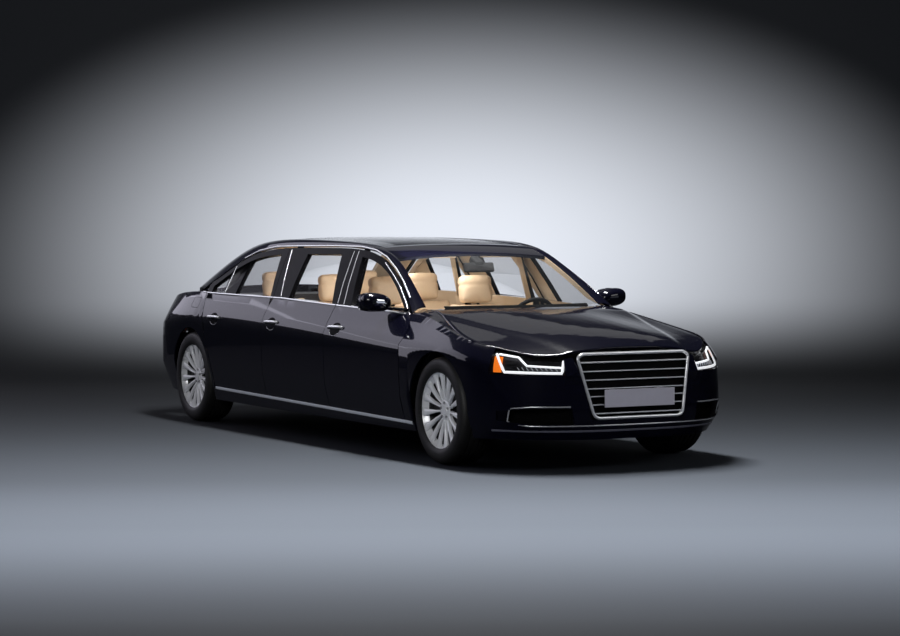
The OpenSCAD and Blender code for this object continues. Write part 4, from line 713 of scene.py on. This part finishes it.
for tag, hand in (("l", 1), ("r", -1)):
    patch("bumper_corner_" + tag, [[on_lip(hand * (0.793 + 0.009 * k), 0.296 + 0.0158 * j)[0] for k in range(9)]
                                   for j in range(9)], paint, "car_body")
    grid = [[in_lamp(0.05 + 0.90 * k / 12, 0.06 + 0.86 * j / 6, 0.040, hand) for k in range(13)] for j in range(7)]
    grid = [[p[0] for p in row] for row in grid if all(row)]
    patch("lamp_housing_" + tag, grid, fins, "car_body")
    grid = [[in_lamp(0.84 + 0.12 * k / 4, 0.10 + 0.70 * j / 6, 0.012, hand) for k in range(5)] for j in range(7)]
    grid = [[p[0] for p in row] for row in grid if all(row)]
    patch("lamp_amber_" + tag, grid, amber, "car_body")
    for name, line, wide in (("low", ((0.94, 0.90), (0.80, 0.12), (0.04, 0.10), (0.04, 0.85)), 0.017),
                             ("high", ((0.90, 0.90), (0.63, 0.84), (0.50, 0.46), (0.06, 0.43)), 0.013)):
        strip(f"light_bar_{name}_{tag}", [in_lamp(a, t, 0.014, hand) for a, t in spread(line, 8)], light_bar,
              "car_body", wide, 0.008)
    for k in range(9):
        a = 0.10 + 0.062 * k
        strip(f"lamp_fin_{k}_{tag}", [in_lamp(a, 0.22, 0.020, hand), in_lamp(a + 0.035, 0.37, 0.020, hand)], satin,
              "car_body", 0.003, 0.003)
lamp_red = grained("lamp_red", (0.22, 0.004, 0.005), (0.36, 0.010, 0.010), 60, 0.08, coat=1.0)
panel_from("tail_lamps", [lamp_red], "car_body")

# Door handles, mirrors and the fuel flap: chromed bars over a flat black sheet in each door, painted shade for the
# hollow behind the handle, mirror heads in body colour on a foot at the window corner, and a flap let into the
# right quarter.
mirror_glass = grained("mirror_glass", (0.80, 0.82, 0.85), (0.84, 0.86, 0.88), 5, 0.02, 1.0)
shade_and_gap_black = grained("shade_and_gap_black", (0.0010, 0.0010, 0.0015), (0.0020, 0.0020, 0.0025), 200, 0.5, shine=0.03)
cup_z, cup_points = 0.832, 32


def cup_ring(skin, x, half_long, half_tall, hand):
    turns = [k * 2 * math.pi / cup_points for k in range(cup_points)]
    return [on_side(skin, x + half_long * math.cos(t), cup_z + half_tall * math.sin(t), hand) for t in turns]


# Each handle's hollow is a flat black sheet laid just proud of the door skin: painted shade, not a dished cup.
for end, x0 in (("f", 0.654), ("m", -0.429), ("r", -1.519)):
    for tag, hand in (("l", 1), ("r", -1)):
        skin = tree_of(f"door_{end}{tag}")
        bm = bmesh.new()
        rim = cup_ring(skin, x0, 0.078, 0.046, hand)
        outer = [bm.verts.new(at + out * 0.0004) for at, out in rim]
        inner = [bm.verts.new(at + out * 0.0012) for at, out in cup_ring(skin, x0, 0.070, 0.040, hand)]
        for k in range(cup_points):
            m = (k + 1) % cup_points
            bm.faces.new((outer[k], outer[m], inner[m], inner[k]))
        bm.faces.new(inner)
        bmesh.ops.recalc_face_normals(bm, faces=bm.faces)
        cup = finish_mesh(bm, f"handle_cup_{end}{tag}", [shade_and_gap_black], 30)
        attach(cup, f"door_{end}{tag}_body")
        # Painted highlight: a chrome line along the lower rim of the sheet only, where the hollow's lip would catch the
        # light.
        strip(f"cup_edge_{end}{tag}", [(at + out * 0.001, out) for at, out in rim[19:30]], chrome,
              f"door_{end}{tag}_body", 0.003, 0.001)
        bar = []
        for k in range(13):
            s = k / 6 - 1
            at, out = on_side(skin, x0 + 0.112 * s, 0.841 + 0.003 * s, hand)
            bar.append((at + out * (0.004 + 0.018 * (1 - s ** 4)), out))
        strip(f"handle_bar_{end}{tag}", bar, chrome, f"door_{end}{tag}_body", 0.020, 0.008)
mirror_x, mirror_y, mirror_z = 1.276, 0.942, 1.040
for tag, hand in (("l", 1), ("r", -1)):
    bm = bmesh.new()
    bmesh.ops.create_uvsphere(bm, u_segments=40, v_segments=24, radius=1)
    for v in bm.verts:
        v.co = Vector([math.copysign(abs(c) ** 0.84, c) for c in v.co])
        v.co = Vector((mirror_x + 0.074 * max(v.co.x, -0.72), hand * (mirror_y + 0.110 * v.co.y),
                       mirror_z + 0.064 * v.co.z))
        v.co.z += 0.10 * (abs(v.co.y) - mirror_y) * (1 if v.co.z > mirror_z else 0.4)
    bmesh.ops.recalc_face_normals(bm, faces=bm.faces)
    for face in bm.faces:
        face.material_index = 1 if face.normal.x < -0.97 else 0
    head = finish_mesh(bm, "mirror_head_" + tag, [paint, mirror_glass], 40)
    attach(head, f"door_f{tag}_body")
    panel_from("mirror_" + tag, [paint], f"door_f{tag}_body", smooth=40)
quarter = tree_of("rear_quarters")
flap = [Vector(p) for p in ((-2.070, 0.905), (-1.905, 0.905), (-1.905, 0.985), (-2.070, 0.985))]
strip("fuel_flap_gap", [on_side(quarter, p.x, p.y, -1) for p in rounded(flap, 0.025)], shade_and_gap_black, "car_body",
      0.004, 0.0006, closed=True)

# The scuttle: a moulded panel of black plastic at the foot of the windscreen, clipped to the bulkhead.
# It closes the gap between bonnet and glass.
plastic = grained("plastic_black", (0.004, 0.004, 0.004), (0.008, 0.008, 0.008), 500, 0.85, bump=0.2, shine=0.04)
panel_from("cowl", [plastic], "car_body")

# The cabin: a black soft-skinned dash and wheel, beige leather seats in three pairs on steel frames, consoles between
# them in the same leather, sun visors and a black mirror at the top of the windscreen.
dash_skin = grained("dash_skin", (0.010, 0.010, 0.011), (0.018, 0.018, 0.019), 800, 0.8, bump=0.2, shine=0.08)
leather = grained("leather_beige", (0.70, 0.54, 0.37), (0.80, 0.63, 0.45), 350, 0.5, bump=0.25)
panel_from("dashboard", [dash_skin], "car_body")
panel_from("steering_wheel", [dash_skin], "steering_body")
panel_from("console", [leather], "car_body")


def block(name, size, place, bevel, mat):
    bm = bmesh.new()
    bmesh.ops.create_cube(bm, size=1)
    bmesh.ops.scale(bm, vec=size, verts=bm.verts)
    bmesh.ops.bevel(bm, geom=bm.edges[:], offset=bevel, segments=4, profile=0.5, affect="EDGES", material=-1)
    bmesh.ops.transform(bm, matrix=place, verts=bm.verts)
    bmesh.ops.recalc_face_normals(bm, faces=bm.faces)
    obj = finish_mesh(bm, name, [mat], 40)
    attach(obj, "car_body")
    return obj


block("dash_hood", (0.15, 0.36, 0.07), Matrix.Translation((1.42, 0.37, 0.965)), 0.03, dash_skin)
for tag, hand in (("l", 1), ("r", -1)):
    block("sun_visor_" + tag, (0.15, 0.40, 0.016), Matrix.Translation((0.80, 0.30 * hand, 1.352)) @
          Matrix.Rotation(math.radians(12), 4, "Y"), 0.006, trim_beige)
block("inside_mirror", (0.03, 0.24, 0.07), Matrix.Translation((1.02, 0.0, 1.262)) @
      Matrix.Rotation(math.radians(-20), 4, "Y"), 0.012, dash_skin)
block("mirror_foot", (0.10, 0.07, 0.05), Matrix.Translation((0.985, 0.0, 1.302)) @
      Matrix.Rotation(math.radians(24), 4, "Y"), 0.012, dash_skin)


voxel, fill_steps, seam_wide, seam_deep = 0.012, 20, 0.009, 0.007


def pad(name, size, place, bevel, cap, seams):
    bm = bmesh.new()
    bmesh.ops.create_cube(bm, size=1)
    bmesh.ops.scale(bm, vec=size, verts=bm.verts)
    bmesh.ops.bevel(bm, geom=bm.edges[:], offset=bevel, segments=4, profile=0.5, affect="EDGES", material=-1)
    obj = finish_mesh(bm, name, [], 0)
    mesh_mod = obj.modifiers.new("even", "REMESH")
    mesh_mod.mode, mesh_mod.voxel_size = "VOXEL", voxel
    graph = bpy.context.evaluated_depsgraph_get()
    obj.data = bpy.data.meshes.new_from_object(obj.evaluated_get(graph))
    obj.modifiers.clear()
    rest = [v.co.copy() for v in obj.data.vertices]
    cloth = obj.modifiers.new("fill", "CLOTH")
    cloth.settings.quality = 4
    cloth.settings.use_pressure = True
    cloth.settings.uniform_pressure_force = 4
    cloth.settings.effector_weights.gravity = 0
    cloth.point_cache.frame_start, cloth.point_cache.frame_end = 1, fill_steps
    for step in range(1, fill_steps + 1):
        scene.frame_set(step)
    graph = bpy.context.evaluated_depsgraph_get()
    full = [v.co.copy() for v in obj.evaluated_get(graph).data.vertices]
    obj.modifiers.clear()
    scene.frame_set(1)
    for v, was, now in zip(obj.data.vertices, rest, full):
        move = now - was
        v.co = was + move * min(1, cap / max(move.length, 1e-6))
    for v in obj.data.vertices:
        for axis, where in seams:
            near = math.exp(-((v.co[axis] - where) / seam_wide) ** 2)
            v.co -= v.normal * seam_deep * near
    obj.data.transform(place)
    obj.data.shade_smooth()
    return obj


master = [pad("seat_cushion", (0.46, 0.48, 0.11), Matrix.Translation((0.300, 0, 0.424)) @
              Matrix.Rotation(math.radians(-5), 4, "Y"), 0.035, 0.014, ((1, -0.14), (1, 0.14), (0, 0.06))),
          pad("seat_back", (0.105, 0.48, 0.50), Matrix.Translation((-0.066, 0, 0.735)) @
              Matrix.Rotation(math.radians(-13.4), 4, "Y"), 0.035, 0.014, ((1, -0.14), (1, 0.14), (2, 0.06))),
          pad("head_rest", (0.095, 0.26, 0.200), Matrix.Translation((-0.122, 0, 1.083)) @
              Matrix.Rotation(math.radians(-8), 4, "Y"), 0.034, 0.010, ((2, 0.030),))]
for piece in master:
    scene.collection.objects.unlink(piece)
seat_y = 0.370
for row, x in (("front", 0.404), ("middle", -0.456), ("rear", -1.496)):
    for tag, hand in (("l", 1), ("r", -1)):
        for piece in master:
            mesh = piece.data.copy()
            mesh.transform(Matrix.Translation((x, seat_y * hand, 0)))
            mesh.materials.clear()
            mesh.materials.append(leather)
            soft = bpy.data.objects.new(f"{piece.name}_{row}_{tag}", mesh)
            scene.collection.objects.link(soft)
            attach(soft, "car_body")
            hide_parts("seats_" + row)
        block(f"seat_base_{row}_{tag}", (0.34, 0.42, 0.17), Matrix.Translation((x + 0.13, seat_y * hand, 0.293)),
              0.012, plastic)
for piece in master:
    bpy.data.objects.remove(piece)
